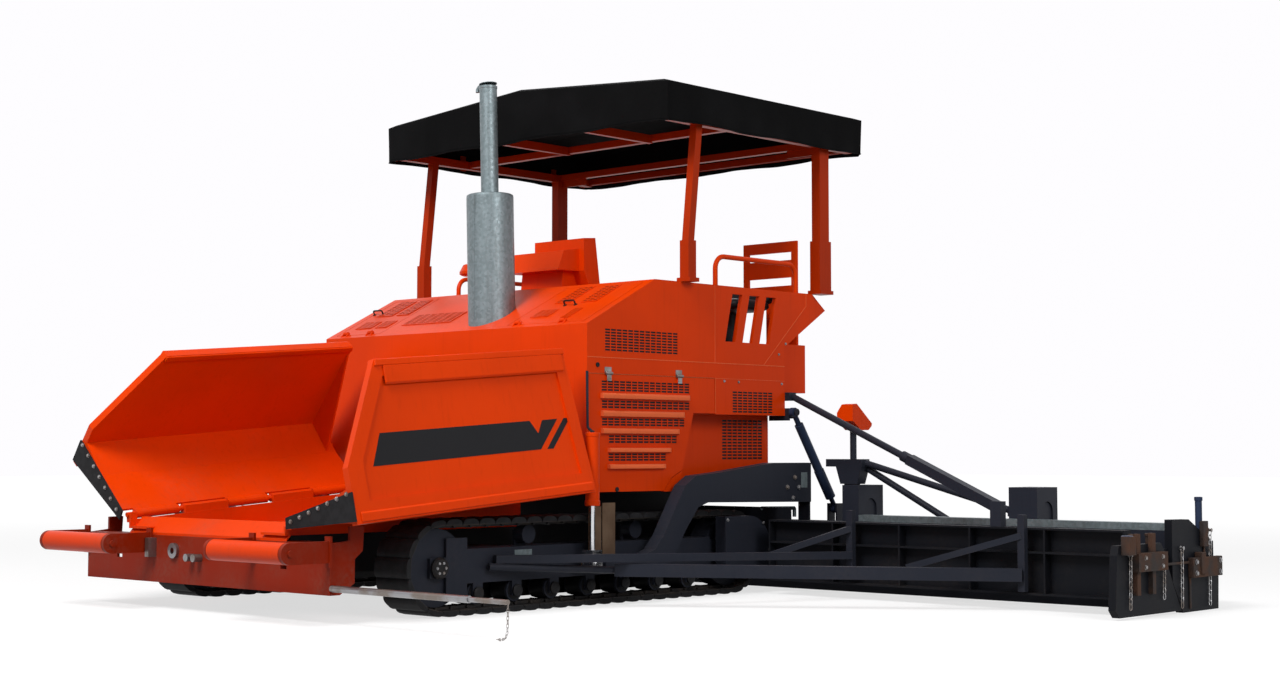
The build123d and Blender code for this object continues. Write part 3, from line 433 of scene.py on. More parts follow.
def boltsShape(centres, direction, size):
    # hexagon heads on round washers, at every centre: all measures are shares of the head's radius
    washer = turnedShape(size * np.array([(1.25, 0), (1.25, 0.25), (1.1, 0.3)]), (0, 0, 0), direction, 14)
    head = turnedShape(size * np.array([(1, 0.2), (1, 0.85), (0.82, 1)]), (0, 0, 0), direction, 6)
    return repeated(merged(washer, head), centres)


def perforatedShape(width, height, thick, columns, rows, share):
    # plate in (u, v) with a grid of slots: cells between lines are web, slot, web, slot ... web
    def lines(length, count, part):
        web, slot = length * (1 - part) / (count + 1), length * part / count
        return np.concatenate([[0], np.cumsum(np.append(np.tile([web, slot], count), web))])

    u, v = lines(width, columns, share[0]), lines(height, rows, share[1])
    solid = np.ones((len(u) - 1, len(v) - 1), bool)
    solid[1::2, 1::2] = False
    grid = np.stack([*np.meshgrid(u, v, indexing="ij"), np.zeros((len(u), len(v)))], -1)
    points = np.vstack([grid.reshape(-1, 3), grid.reshape(-1, 3) + (0, 0, thick)])
    index = np.arange(len(u) * len(v)).reshape(len(u), len(v))
    top = index + index.size
    i, j = np.nonzero(solid)
    front = np.stack([top[i, j], top[i + 1, j], top[i + 1, j + 1], top[i, j + 1]], 1)
    back = np.stack([index[i, j], index[i, j + 1], index[i + 1, j + 1], index[i + 1, j]], 1)
    padded = np.pad(solid, 1)
    i, j = np.nonzero(padded[1:, 1:-1] != padded[:-1, 1:-1])
    wallsU = np.stack([index[i, j], index[i, j + 1], top[i, j + 1], top[i, j]], 1)
    i, j = np.nonzero(padded[1:-1, 1:] != padded[1:-1, :-1])
    wallsV = np.stack([index[i, j], index[i + 1, j], top[i + 1, j], top[i, j]], 1)
    return points, np.vstack([front, back, wallsU, wallsV]).tolist()


def grilleShapes(fields, thick, share, proud, shadeSheet, rim=0.004):
    # in (u, v, height): perforated plates from the height proud, and dark sheets between two heights, painted
    # shade behind the slots
    plates, shadeSheets = [], []
    for u0, u1, v0, v1, columns, rows in fields:
        plate = perforatedShape(u1 - u0, v1 - v0, thick, columns, rows, share)
        plates.append(shifted(plate, (u0, v0, proud)))
        shadeSheets.append((u0 + rim, u1 - rim, v0 + rim, v1 - rim, *shadeSheet))
    return merged(*plates), boxesShape(shadeSheets)


def makePiece(name, shape, slotName, body="root", bevel=0.0, round=False, stands=(), finish=None):
    # mesh object with normals pointing outwards, its finish, and the body that it rides on
    mesh = bpy.data.meshes.new(name)
    mesh.from_pydata(shape[0].tolist(), [], shape[1])
    work = bmesh.new()
    work.from_mesh(mesh)
    bmesh.ops.remove_doubles(work, verts=work.verts, dist=0.00001)
    bmesh.ops.recalc_face_normals(work, faces=work.faces)
    work.to_mesh(mesh)
    work.free()
    made = bpy.data.objects.new(name, mesh)
    bpy.context.scene.collection.objects.link(made)
    mesh.materials.append(materials[finish or slotName])
    if round:
        mesh.polygons.foreach_set("use_smooth", np.ones(len(mesh.polygons), bool))
        mesh.set_sharp_from_angle(angle=math.radians(35))
    if bevel:
        edge = made.modifiers.new("edges", "BEVEL")
        edge.width, edge.segments, edge.limit_method = bevel, 2, "ANGLE"
        edge.angle_limit = math.radians(40)
    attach(made, body)
    if stands:
        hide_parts(*stands)
    return made


def makePair(name, shape, slotName, body=None, **more):
    # the same piece on the left and, mirrored, on the right
    for side, form in (("left", shape), ("right", mirrored(shape))):
        makePiece(f"{name}_{side}", form, slotName, f"{body}_{side}" if body else "root", **more)


def makeBoth(name, shape, *rest, **more):
    # one piece that holds the left side's shape and its mirror image
    return makePiece(name, merged(shape, mirrored(shape)), *rest, **more)


print("shape helpers ready")

# canopy: one canvas sheet over a gabled frame, with a hanging valance that waves between its ties
canopy = {"half": 1.475, "front": 0.372, "rear": 2.588, "eave": 3.53, "ridge": 3.638, "hem": 3.246,
          "sag": 0.02, "wave": 0.01, "pull": 0.006, "hemWave": 0.006, "softEdge": 0.018, "corner": 0.012,
          "thick": 0.003, "rope": 0.005}


def roundedOutline(halfX, halfY, radius, count):
    # rectangle with round corners, at even steps of its length: four quarter circles joined by straight runs
    turn = np.linspace(0, math.pi / 2, 9)[None] + np.arange(4)[:, None] * math.pi / 2
    signX, signY = np.array([1, -1, -1, 1])[:, None], np.array([1, 1, -1, -1])[:, None]
    x = (signX * (halfX - radius) + radius * np.cos(turn)).ravel()
    y = (signY * (halfY - radius) + radius * np.sin(turn)).ravel()
    x, y = np.append(x, x[0]), np.append(y, y[0])
    along = np.concatenate([[0], np.cumsum(np.hypot(np.diff(x), np.diff(y)))])
    at = np.arange(count) / count * along[-1]
    return np.interp(at, along, x), np.interp(at, along, y)


def canopyPoints(c, around=360, roof=26, skirt=14):
    # rings of a rounded rectangle, shrunk to a line under the ridge for the roof, dropped straight for the
    # valance: height = gable line minus a sine sag between bars, width = outline plus sine waves that grow
    # to the hem
    middle, reach = (c["front"] + c["rear"]) / 2, (c["rear"] - c["front"]) / 2
    x, y = roundedOutline(c["half"], reach, c["corner"], around)
    step = np.linspace(0.0, 1.0, roof)[:, None]
    roofX, roofY = x[None] * step, y[None] * (0.35 + 0.65 * step)
    gable = c["ridge"] - (c["ridge"] - c["eave"]) * np.abs(roofX) / c["half"]
    sag = c["sag"] * np.abs(np.sin(3 * math.pi * (roofY + reach) / (2 * reach)))
    sag = sag * np.sin(math.pi * np.abs(roofX) / c["half"])
    softEdge = c["softEdge"] * np.clip((step - 0.94) / 0.06, 0, 1) ** 2
    roofZ = gable - sag * (1 - step ** 6) - softEdge
    drop = np.linspace(0.0, 1.0, skirt)[1:, None]
    outward = np.stack([np.sign(x) * (np.abs(x) > 0.97 * c["half"]), np.sign(y) * (np.abs(y) > 0.97 * reach)])
    along = np.where(outward[0] != 0, y, x)
    wave = c["wave"] * (np.sin(along * 9.0 + 1.0) * 0.6 + np.sin(along * 23.0) * 0.4) * drop ** 1.5
    pull = -c["pull"] * np.sin(math.pi * drop * 0.85) * (1 - np.abs(along)[None] / c["half"]).clip(0, 1)
    skirtX, skirtY = x[None] + outward[0] * (wave + pull), y[None] + outward[1] * (wave + pull)
    top = roofZ[-1][None]
    hem = c["hem"] + c["hemWave"] * np.sin(along * 7.0)[None]
    skirtZ = top + (hem - top) * drop
    return np.stack([np.vstack([roofX, skirtX]), np.vstack([roofY, skirtY]) + middle,
                     np.vstack([roofZ, skirtZ])], -1)


def buildCanopy():
    c = canopy
    points = canopyPoints(c)
    shape = ringsShape(points, False)
    cloth = makePiece("canopyCloth", shape, "canvas", round=True, stands=("canopy_cover",))
    thick = cloth.modifiers.new("cloth", "SOLIDIFY")
    thick.thickness, thick.offset = c["thick"], -1
    # doubled hem at the valance's lower edge
    rim = np.vstack([points[-1], points[-1][:1]]) + (0, 0, 0.004)
    hem = makePiece("canopyHem", tubeShape(rim, c["rope"], 6, False), "canvas", round=True)


buildCanopy()
print("canopy ready")

# side panels: x of each plane, the fields' pockets, and the hinges of the side door
side = {"face": 1.36, "recess": 1.2, "pocket": 0.004, "shadeSheet": 0.0008, "grille": 0.002, "proud": 0.0005,
        "awning": 0.029, "awningFoot": 0.001, "awningTop": 0.011,
        "seam": 0.0016, "hinges": (-0.098, 0.604), "hingeX": 1.37, "hingeZ": 1.51,
        "leaf": (0.0122, 0.0142), "cylinder": (1.45, -0.335), "pipeEnd": (1.446, -0.333)}
# louvres of the door: y and z of each field, columns and rows of slots
doorBands = [(-0.166, 0.722, 1.388, 1.468, 15, 4), (-0.162, 0.722, 1.275, 1.338, 15, 3),
             (-0.162, 0.67, 1.16, 1.221, 14, 3), (-0.095, 0.59, 1.046, 1.109, 12, 3),
             (-0.099, 0.478, 0.928, 0.989, 10, 3)]
# awnings under the louvres: y ends, then the foot and the top of each
doorLedges = [(-0.166, 0.72, 1.346, 1.37), (-0.162, 0.664, 1.228, 1.254), (-0.162, 0.61, 1.116, 1.138),
              (-0.095, 0.525, 0.993, 1.009), (-0.099, 0.47, 0.884, 0.901)]
fixedGrilles = {"face": [(-0.133, 0.601, 1.652, 1.812, 13, 8), (1.17, 1.632, 1.263, 1.427, 8, 8)],
                "recess": [(1.243, 1.707, 0.931, 1.231, 8, 13)]}


def sideFields(plane, fields):
    # perforated plates in their pockets, and the dark sheets behind them as painted shade
    thick, pocket = side["grille"], side["pocket"]
    shadeSheet = (-pocket, side["shadeSheet"] - pocket)
    shapes = grilleShapes(fields, thick, (0.84, 0.58), side["proud"] - thick, shadeSheet)
    return [laidOn(shape, (side[plane], 0, 0), yWay, zWay, xWay) for shape in shapes]


def buildSide():
    grilles, shades = sideFields("face", doorBands)
    makePair("doorGrilles", grilles, "orange_paint", "side_door")
    makePair("doorGrilleShade", shades, "black_paint", "side_door")
    grilles, shades = zip(*[sideFields(plane, fields) for plane, fields in fixedGrilles.items()])
    makeBoth("sideGrilles", merged(*grilles), "orange_paint")
    makeBoth("sideGrilleShade", merged(*shades), "black_paint")
    # awnings: a full quarter curve from the panel down to the lip, x and z as roots of sine and cosine,
    # drawn in at the rear end
    x, turn = side["face"], np.linspace(0, math.pi / 2, 8)
    awnings = []
    for y0, y1, z0, z1 in doorLedges:
        reach, foot = side["awning"] * np.sin(turn) ** 0.5, z0 - side["awningFoot"]
        high = foot + (z1 + side["awningTop"] - foot) * np.cos(turn).clip(0) ** 0.5
        sections = []
        for y, share in ((y0 - 0.003, 1.0), (y1 - 0.033, 1.0), (y1 + 0.002, 0.08)):
            arc = np.stack([x + reach * share, np.full(8, y), high], 1)
            sections.append(np.vstack([[(x, y, foot)], arc]))
        awnings.append(ringsShape(np.stack(sections)))
    # the awnings' lighter orange is a painted highlight on their lit tops
    makePair("doorAwnings", merged(*awnings), "orange_paint", "side_door", round=True, finish="highlightOrange")
    # folded seams in a lighter orange, a painted highlight: along the panels, up to the deck and down the
    # slanted rear edge
    out = x + side["seam"]
    lines = [(x, out, -0.292, 1.768, 1.612, 1.617), (x, out, 0.986, 0.989, 1.619, 2.16),
             (x, out, -0.279, 1.768, 1.5055, 1.5085), (x, out, 0.99, 0.993, 1.262, 1.504)]
    slanted = prismShape([(1.53, 1.618), (2.027, 2.067), (2.027, 2.155), (2.023, 2.155), (2.023, 2.069),
                          (1.525, 1.618)], 0, x, out)
    makeBoth("panelSeams", merged(boxesShape(lines), slanted), "orange_paint", finish="highlightOrange")
    # door hinges: leaves on the door, barrels on the panel
    inner, outer = x + side["leaf"][0], x + side["leaf"][1]
    leaves = boxesShape([(inner, outer, y - 0.021, y + 0.021, 1.46, 1.503) for y in side["hinges"]])
    places = [(outer, y + step, 1.474) for y in side["hinges"] for step in (-0.011, 0.011)]
    makePair("hingeLeaves", merged(leaves, boltsShape(places, xWay, 0.004)), "bare_steel", "side_door",
             bevel=0.001)
    barrel = turnedShape([(0.01, -0.031), (0.0115, -0.03), (0.0115, 0.03), (0.01, 0.031)],
                         (side["hingeX"], 0, side["hingeZ"]), yWay, 18)
    barrels = repeated(barrel, [(0, y, 0) for y in side["hinges"]])
    plates = [(x + 0.0002, x + 0.0025, y - 0.032, y + 0.032, 1.512, 1.552) for y in side["hinges"]]
    makeBoth("hingeBarrels", merged(boxesShape(plates), barrels), "bare_steel", round=True)
    # pipe from the front edge down to the levelling cylinder, and the cylinder's gland and cap
    route = [(1.372, -0.306, 1.52), (1.372, -0.306, 1.5), (1.378, -0.306, 1.15), (1.432, -0.322, 1.128),
             (*side["pipeEnd"], 1.116)]
    fitting = turnedShape([(0.014, 0), (0.014, 0.016), (0.01, 0.02)], (*side["pipeEnd"], 1.112), zWay, 6)
    pipe = tubeShape(bentPipe(route, 0.018), 0.009, 12)
    makeBoth("levellingPipes", merged(pipe, fitting), "dark_paint", round=True)
    gland = [(0.019, 0.0), (0.047, 0.001), (0.0495, 0.004), (0.0495, 0.034), (0.046, 0.038)]
    cap = [(0.046, 0.0), (0.0485, 0.002), (0.0485, 0.022), (0.045, 0.026), (0.02, 0.027)]
    collars = [turnedShape(profile, (*side["cylinder"], z), zWay, 32)
               for profile, z in ((gland, 0.646), (cap, 1.092))]
    makeBoth("levellingCollars", merged(*collars), "orange_paint", round=True)
    screws = [(x, 1.086, 1.489), (x, 1.244, 1.487), (x, 1.732, 1.486), (x, 1.7, 1.7), (x, 1.78, 1.78)]
    makeBoth("sideScrews", boltsShape(screws, xWay, 0.008), "bare_steel")
    lock = turnedShape([(0.016, 0), (0.016, 0.006), (0.012, 0.008), (0.006, 0.004)], (0, 0, 0), xWay, 16)
    makeBoth("sideLocks", repeated(lock, [(x, -0.197, 1.564), (x, -0.011, 0.746)]), "black_paint", round=True)


buildSide()
print("side panels ready")

# hood: sloped from its front edge to the ridge
hood = {"front": -0.295, "frontZ": 1.832, "ridge": 0.364, "ridgeZ": 2.163, "proud": 0.0015, "grille": 0.004}
hoodRise, hoodRun = hood["ridgeZ"] - hood["frontZ"], hood["ridge"] - hood["front"]
hoodLength = math.hypot(hoodRise, hoodRun)
# vents: names of plate and of its dark sheet of painted shade, body, columns and rows of slots, then x span
# and y span of each field
hoodVents = [("lidVents_left", "lidVentShade_left", "hood_lid_left", 3, 9,
              [(0.677, 0.848, -0.151, -0.042), (1.007, 1.084, -0.185, -0.045), (0.704, 0.851, 0.057, 0.314),
               (0.962, 1.108, 0.051, 0.304)]),
             ("lidVents_right", "lidVentShade_right", "hood_lid_right", 3, 9,
              [(-1.2, -1.02, -0.151, -0.042), (-0.97, -0.84, -0.151, -0.042), (-1.2, -1.02, 0.055, 0.3),
               (-0.97, -0.84, 0.055, 0.3)]),
             ("centreVent", "centreVentShade", "root", 7, 8, [(-0.689, -0.161, -0.134, 0.033)])]


def onSlope(shape):
    # (x, distance up the slope from the hood's front edge, height) put on the slope
    run, rise = hoodRun / hoodLength, hoodRise / hoodLength
    return laidOn(shape, (0, hood["front"], hood["frontZ"]), xWay, (0, run, rise), (0, -rise, run))


def slopeAlong(y):
    return (y - hood["front"]) * hoodLength / hoodRun


def buildHood():
    for plateName, shadeName, body, columns, rows, spans in hoodVents:
        fields = [(x0, x1, slopeAlong(y0), slopeAlong(y1), columns, rows) for x0, x1, y0, y1 in spans]
        plates, shades = grilleShapes(fields, hood["grille"], (0.82, 0.5), hood["proud"], (0, hood["proud"]))
        makePiece(plateName, onSlope(plates), "orange_paint", body)
        makePiece(shadeName, onSlope(shades), "black_paint", body)
    # lift handles on the lids: a small steel bow each
    half, rise = 0.05, 0.035
    for name, x, y in (("left", 0.893, 0.02), ("right", -1.223, 0.095)):
        bow = tubeShape(bentPipe([(-half, 0, 0), (-half, 0, rise), (half, 0, rise), (half, 0, 0)], 0.015),
                        0.006, 10)
        foot = turnedShape([(0.014, 0), (0.014, 0.004), (0.008, 0.006)], (0, 0, 0), zWay, 14)
        grip = merged(bow, repeated(foot, [(-half, 0, 0), (half, 0, 0)]))
        grip = onSlope(shifted(grip, (x, slopeAlong(y), 0)))
        makePiece("lidHandle_" + name, grip, "black_paint", "hood_lid_" + name, round=True)


buildHood()
print("hood ready")

# hopper wings: u outwards, v along the hinge, w upwards, as the wing's own frame
wing = {"hinge": (0.86, -2.3, 0.585), "slope": 4.6, "foot": 0.672, "lean": 11.1, "raised": 31.1,
        "decal": 0.0012, "recess": -0.014, "fold": 0.012}
stripe = [(0.173, 0.321), (0.263, 0.511), (1.47, 0.498), (1.526, 0.414), (1.579, 0.495), (1.714, 0.495),
          (1.523, 0.312)]
slantBar = [(1.577, 0.31), (1.632, 0.308), (1.827, 0.494), (1.77, 0.495)]


def onWing(shape, raised=0.0):
    # the wing's own frame raised about its hinge line, then sloped with it
    points, faces = turned(turned(shape, 1, -raised), 0, wing["slope"])
    return points + np.array(wing["hinge"]), faces


def onWall(shape, proud=0.0):
    # (v, distance up the leaning wall, height out of it) put on the wall's outer face
    lean = math.radians(wing["lean"])
    up, out = (-math.sin(lean), 0, math.cos(lean)), (math.cos(lean), 0, math.sin(lean))
    origin = np.array([wing["foot"], 0, 0]) + np.array(out) * proud
    return laidOn(shape, origin, yWay, up, out)


def makeWingPair(name, shape, slotName, **finish):
    makePiece(name + "_left", onWing(shape), slotName, "wing_left", **finish)
    makePiece(name + "_right", mirrored(onWing(shape, wing["raised"])), slotName, "wing_right", **finish)


def buildWings():
    bands = merged(*[prismShape(outline, 2, 0, wing["decal"]) for outline in (stripe, slantBar)])
    makeWingPair("wingStripe", onWall(bands, wing["recess"]), "black_paint")
    # folded lip along the top and down the front edge, and a rolled rib along the foot
    out = wing["fold"]
    lip = [(0.3, 0.905), (1.868, 0.905), (1.86, 0.945), (0.306, 0.945)]
    makeWingPair("wingLip", onWall(prismShape(lip, 2, -0.062, out)), "orange_paint", bevel=0.005)
    fold = prismShape([(0.79, 0.0), (0.802, out), (0.905, out), (0.905, 0.0)], 0, 0.36, 1.835)
    makeWingPair("wingFold", onWall(fold), "orange_paint", bevel=0.003)
    foot = prismShape([(0.012, 0.0), (0.012, 0.01), (0.06, 0.01), (0.07, 0.0)], 0, 0.01, 1.9)
    makeWingPair("wingFoot", onWall(foot), "orange_paint", bevel=0.003)
    # bolt row that holds the rubber flap, parallel to the wing's rising front edge
    u = np.linspace(0.07, 0.6, 7)
    w = 0.022 + (u - 0.036) * (0.19 - 0.022) / (0.56 - 0.036) - 0.03
    centres = np.stack([u, np.full(7, -0.0343), w], 1)
    makeWingPair("flapBolts", boltsShape(centres, (0, -1, 0), 0.011), "bare_steel")


buildWings()
print("wings ready")

# stack with its rain cap, and the mushroom of the air intake
stack = {"foot": (0.215, -0.07, 1.7), "lean": (-0.03, 0, 1), "can": 0.166, "pipe": 0.062, "canTop": 1.1,
         "top": 1.888, "intake": (-0.24, 0.2, 1.95), "stem": 0.063}


def buildStack():
    can, pipe, canTop, top = stack["can"], stack["pipe"], stack["canTop"], stack["top"]
    body = [(can - 0.006, 0), (can, 0.006), (can, 1.078), (can, 1.082), (can - 0.002, 1.094),
            (can - 0.012, canTop), (pipe + 0.012, canTop + 0.002), (pipe + 0.006, canTop + 0.012)]
    tube = [(pipe, 1.09), (pipe, top - 0.03), (pipe + 0.003, top - 0.028), (pipe + 0.003, top - 0.012),
            (pipe - 0.004, top - 0.011), (pipe - 0.006, top - 0.06)]
    seam = prismShape([(-0.003, 0.0), (0.003, 0.0), (0.003, 1.07), (-0.003, 1.07)], 1, 0.0, 0.002)
    body = merged(turnedShape(body, stack["foot"], stack["lean"], 56), shifted(seam, (0.205, -0.2368, 1.71)))
    makePiece("stackCan", body, "galvanised", round=True, stands=("exhaust",))
    # rain cap: tilted lid on a bent arm that swings from a small hinge block
    lid = turnedShape([(0.055, 0), (0.064, 0.001), (0.064, 0.004), (0.05, 0.006)], (0.158, -0.07, 3.59),
                      (-0.12, 0, 1), 32)
    line = [(0.16, 3.592), (0.09, 3.5905), (0.062, 3.585), (0.05, 3.565), (0.052, 3.545)]
    arm = tubeShape([(x, -0.07, z) for x, z in line], [0.008, 0.008, 0.01, 0.014, 0.016], 10)
    hinge = boxesShape([(0.078, 0.094, -0.088, -0.052, 3.56, 3.59)])
    tube = turnedShape(tube, stack["foot"], stack["lean"], 40)
    makePiece("stackPipe", merged(tube, lid, arm, hinge), "galvanised", round=True)
    stem = stack["stem"]
    cap = [(stem, 0), (stem, 0.318), (0.11, 0.321), (0.129, 0.33), (0.13, 0.349), (0.126, 0.354),
           (0.104, 0.398), (0.09, 0.404), (0.02, 0.405)]
    makePiece("intakeMushroom", turnedShape(cap, stack["intake"], zWay, 48), "orange_paint", round=True,
              stands=("air_intake",))
    band = [(stem, 0.236), (stem + 0.0035, 0.238), (stem + 0.0035, 0.252), (stem, 0.254)]
    makePiece("intakeClamp", turnedShape(band, stack["intake"], zWay, 40), "bare_steel", round=True)


buildStack()
print("stack ready")

# tracks: pads bolted on shoes, two rows of links and pins, all along one loop of straight runs and half
# circles; "sunk" is how much further in the flat shoes sit on the half circles
track = {"inner": 1.05, "wide": 0.3, "idler": -1.515, "sprocket": 1.2, "radius": 0.2935, "pitch": 0.135,
         "sunk": 0.0036, "linkX": (0.105, 0.195), "link": 0.012, "shoe": 0.055, "gap": 0.001, "roller": 0.07,
         "firstRoller": -1.19, "rollerStep": 0.33, "rollers": 7}


def loopFrames():
    # centre (y, z), unit direction, outward normal and depth of each shoe, by distance along the loop:
    # y moves evenly on the straight runs, the angle turns evenly on the half circles
    front, back, radius = track["idler"], track["sprocket"], track["radius"]
    ends = np.cumsum([0, back - front, math.pi * radius, back - front, math.pi * radius])
    count = round(ends[-1] / track["pitch"])
    s = (np.arange(count) + 0.5) * ends[-1] / count
    angle = np.interp(s, ends, [0, 0, math.pi, math.pi, 2 * math.pi])
    y = np.interp(s, ends, [front, back, back, front, front])
    normal = np.stack([np.sin(angle), -np.cos(angle)], 1)
    along = np.stack([np.cos(angle), np.sin(angle)], 1)
    sunk = (np.abs(np.sin(angle)) > 0.001) * track["sunk"]
    return np.stack([y, np.full(count, radius)], 1), along, normal, sunk


def alongTrack(shape, frames):
    # (x, distance along, height outwards) repeated on every shoe
    centre, along, normal, sunk = frames
    points = shape[0][None]
    flat = (centre[:, None] + points[..., 1:2] * along[:, None]
            + (points[..., 2:] - sunk[:, None, None]) * normal[:, None])
    x = np.broadcast_to(points[..., 0], flat.shape[:2])
    return copied(np.concatenate([x[..., None], flat], -1), shape[1])


def buildTracks():
    radius = track["radius"]
    frames = loopFrames()
    x0, x1 = track["inner"], track["inner"] + track["wide"]
    outer = bothWays([(-0.064, radius - 0.032), (-0.06, radius - 0.018), (-0.048, radius - 0.007),
                      (-0.03, radius - 0.001), (-0.016, radius)])
    plate = [(-0.065, radius - 0.038), (-0.066, radius - 0.028), (0.062, radius - 0.028),
             (0.065, radius - 0.038)]
    low, high = radius - track["shoe"], radius - 0.0385
    ring = [(-0.068, low + 0.004), (-0.055, low), (0.055, low), (0.068, low + 0.004), (0.068, high),
            (-0.068, high)]
    links = [prismShape(ring, 0, x0 + x - track["link"], x0 + x + track["link"]) for x in track["linkX"]]
    pin = turnedShape([(0.011, -0.075), (0.011, 0.075)], (x0 + 0.15, 0.067, radius - 0.047), xWay, 10)
    makePair("trackPads", alongTrack(prismShape(outer, 0, x0, x1), frames), "rubber", round=True)
    makePair("trackShoes", alongTrack(prismShape(plate, 0, x0 + 0.004, x1 - 0.004), frames), "track_steel")
    makePair("trackLinks", alongTrack(merged(*links, pin), frames), "track_steel")
    for end in ("left", "right"):
        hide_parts("track_" + end)


def buildWheels():
    # lower rollers with their flanges and caps
    x0 = track["inner"]
    low = track["shoe"] + track["gap"] + track["roller"]
    places = [(0, track["firstRoller"] + track["rollerStep"] * i, low) for i in range(track["rollers"])]
    roller = [(0.03, -0.079), (0.055, -0.078), (0.058, -0.062), (0.0703, -0.06), (0.0703, 0.06),
              (0.058, 0.062), (0.055, 0.078), (0.03, 0.079)]
    wheel = turnedShape(roller, (x0 + track["wide"] / 2, 0, 0), xWay, 32)
    cap = turnedShape([(0.04, 0), (0.04, 0.012), (0.03, 0.018), (0.012, 0.018)], (x0 + 0.25, 0, 0),
                      xWay, 24)
    makeBoth("rollerCaps", merged(repeated(wheel, places), repeated(cap, places)), "black_paint", round=True)
    # dark plate on the inside of the frame behind the rollers, painted shade standing in for the shadow there
    shadePlate = boxesShape([(x0 + 0.021, x0 + 0.0295, -1.43, 1.0, 0.068, 0.25)])
    makeBoth("rollerShadePlates", shadePlate, "black_paint", bevel=0.001)
    # bolted hub cap outside the frame, at the idler
    y, z = track["idler"], track["radius"]
    hub = turnedShape([(0.066, 0.0), (0.066, 0.012), (0.054, 0.024), (0.02, 0.024)], (x0 + 0.26, y, z),
                      xWay, 32)
    makeBoth("idlerCaps", hub, "black_paint", round=True)
    cosine, sine = circle(6)
    places = np.hstack([np.full((6, 1), x0 + 0.2835), y + 0.034 * cosine, z + 0.034 * sine])
    makeBoth("idlerBolts", boltsShape(places, xWay, 0.007), "bare_steel")


buildTracks()
buildWheels()
print("tracks ready")

# seats: crowned cushion and back on a turned stem; "plan" is the power that squares the cushion's outline
seats = {"x": 1.045, "cushion": ((1.54, 2.058), (0.225, 0.205, 0.05)), "plan": 0.28, "welt": 0.97,
         "back": ((1.742, 2.118), (0.222, 0.036, 0.052)), "stem": 0.048, "floor": 1.7005}


def power(wave, share):
    return np.sign(wave) * np.abs(wave) ** share


def pillowShape(centre, half, edge=0.55, around=64, rings=25):
    # superellipsoid: powers of cosine and sine round the plan and over the edge, with the middles of its
    # sides drawn in
    a = np.linspace(0, 2 * math.pi, around, endpoint=False)[None]
    b = np.linspace(-math.pi / 2, math.pi / 2, rings)[1:-1, None]
    pull = 1 - 0.035 * (0.5 + 0.5 * np.cos(4 * a)) * np.cos(b) ** 2
    x = half[0] * power(np.cos(b), edge) * power(np.cos(a), seats["plan"]) * pull
    y = half[1] * power(np.cos(b), edge) * power(np.sin(a), seats["plan"]) * pull
    z = half[2] * power(np.sin(b), edge + 0.25) * np.ones_like(a)
    return ringsShape(np.stack([x, y, z], -1) + np.asarray(centre))


def buildSeats():
    a = np.linspace(0, 2 * math.pi, 97)
    for name, x in (("left", seats["x"]), ("right", -seats["x"])):
        for part, stands in (("cushion", ("seats",)), ("back", ())):
            (y, z), half = seats[part]
            pad = makePiece(f"seat{part.title()}_{name}", pillowShape((x, y, z), half), "seat_vinyl",
                            round=True, stands=stands)
        # welted seam round the cushion
        (y, z), half = seats["cushion"]
        rim = [x + seats["welt"] * half[0] * power(np.cos(a), seats["plan"]),
               y + seats["welt"] * half[1] * power(np.sin(a), seats["plan"]), np.full(97, z)]
        makePiece("seatWelt_" + name, tubeShape(np.stack(rim, 1), 0.004, 8, False), "seat_vinyl", round=True)
    x, wide = seats["x"], seats["stem"]
    base = [(0.115, 0), (0.115, 0.01), (0.06, 0.022), (wide, 0.03), (wide, 0.2), (0.04, 0.205),
            (0.04, 0.3), (0.13, 0.312), (0.13, 0.322)]
    stem = turnedShape(base, (x, seats["cushion"][0][0], seats["floor"]), zWay, 32)
    bracket = boxesShape([(x - 0.1, x + 0.1, 1.735, 1.748, 2.035, 2.1)])
    makeBoth("seatStems", merged(stem, bracket), "black_paint", round=True)


buildSeats()
print("seats ready")

# chain at the tip of the steering pointer: route from the tip, width and wire of a link, and the pitch
chain = {"route": [(2.749, -2.305, 0.1957), (2.748, -2.305, 0.11), (2.742, -2.303, 0.042),
                   (2.705, -2.292, 0.008), (2.632, -2.271, 0.008)],
         "wide": 0.0155, "wire": 0.0018, "pitch": 0.0185}


def splineLine(name, route):
    # points read from a NURBS spline whose control points are the route
    curve = bpy.data.curves.new(name, "CURVE")
    curve.dimensions, curve.resolution_u = "3D", 24
    spline = curve.splines.new("NURBS")
    spline.points.add(len(route) - 1)
    spline.points.foreach_set("co", np.column_stack([np.asarray(route), np.ones(len(route))]).ravel())
    spline.order_u, spline.use_endpoint_u = 3, True
    holder = bpy.data.objects.new(name, curve)
    mesh = bpy.data.meshes.new_from_object(holder)
    line = np.empty(3 * len(mesh.vertices))
    mesh.vertices.foreach_get("co", line)
    bpy.data.objects.remove(holder)
    bpy.data.meshes.remove(mesh)
    bpy.data.curves.remove(curve)
    return line.reshape(-1, 3)


def linksAlong(line, wide, wire, pitch, steps=14):
    # oval rings, a pitch apart along the line, each turned a quarter from the last:
    # ring = two half circles and two runs
    along = np.concatenate([[0], np.cumsum(np.linalg.norm(np.diff(line, axis=0), axis=1))])
    count = int(along[-1] / pitch)
    at = (np.arange(count) + 0.5) * along[-1] / count
    centre = np.stack([np.interp(at, along, values) for values in line.T], 1)
    slope = unit(np.stack([np.interp(at, along, np.gradient(values, along)) for values in line.T], 1))
    side = unit(np.cross(slope, (0.3, 1.0, 0.1)))
    other = np.cross(slope, side)
    odd = (np.arange(count) % 2 == 1)[:, None]
    first, second = np.where(odd, other, side), np.where(odd, side, other)
    bow = wide / 2 - wire
    run = max(pitch / 2 + 1.5 * wire - bow, 0)
    cosine, sine = circle(steps)
    oval = np.hstack([bow * cosine, run * np.sign(np.round(sine, 6)) + bow * sine, np.zeros((steps, 1))])
    points, faces = tubeShape(np.vstack([oval, oval[:1]]), wire, 6, False)
    x, y, z = points.T[:, None, :, None]
    return copied(x * first[:, None] + y * slope[:, None] + z * second[:, None] + centre[:, None], faces)


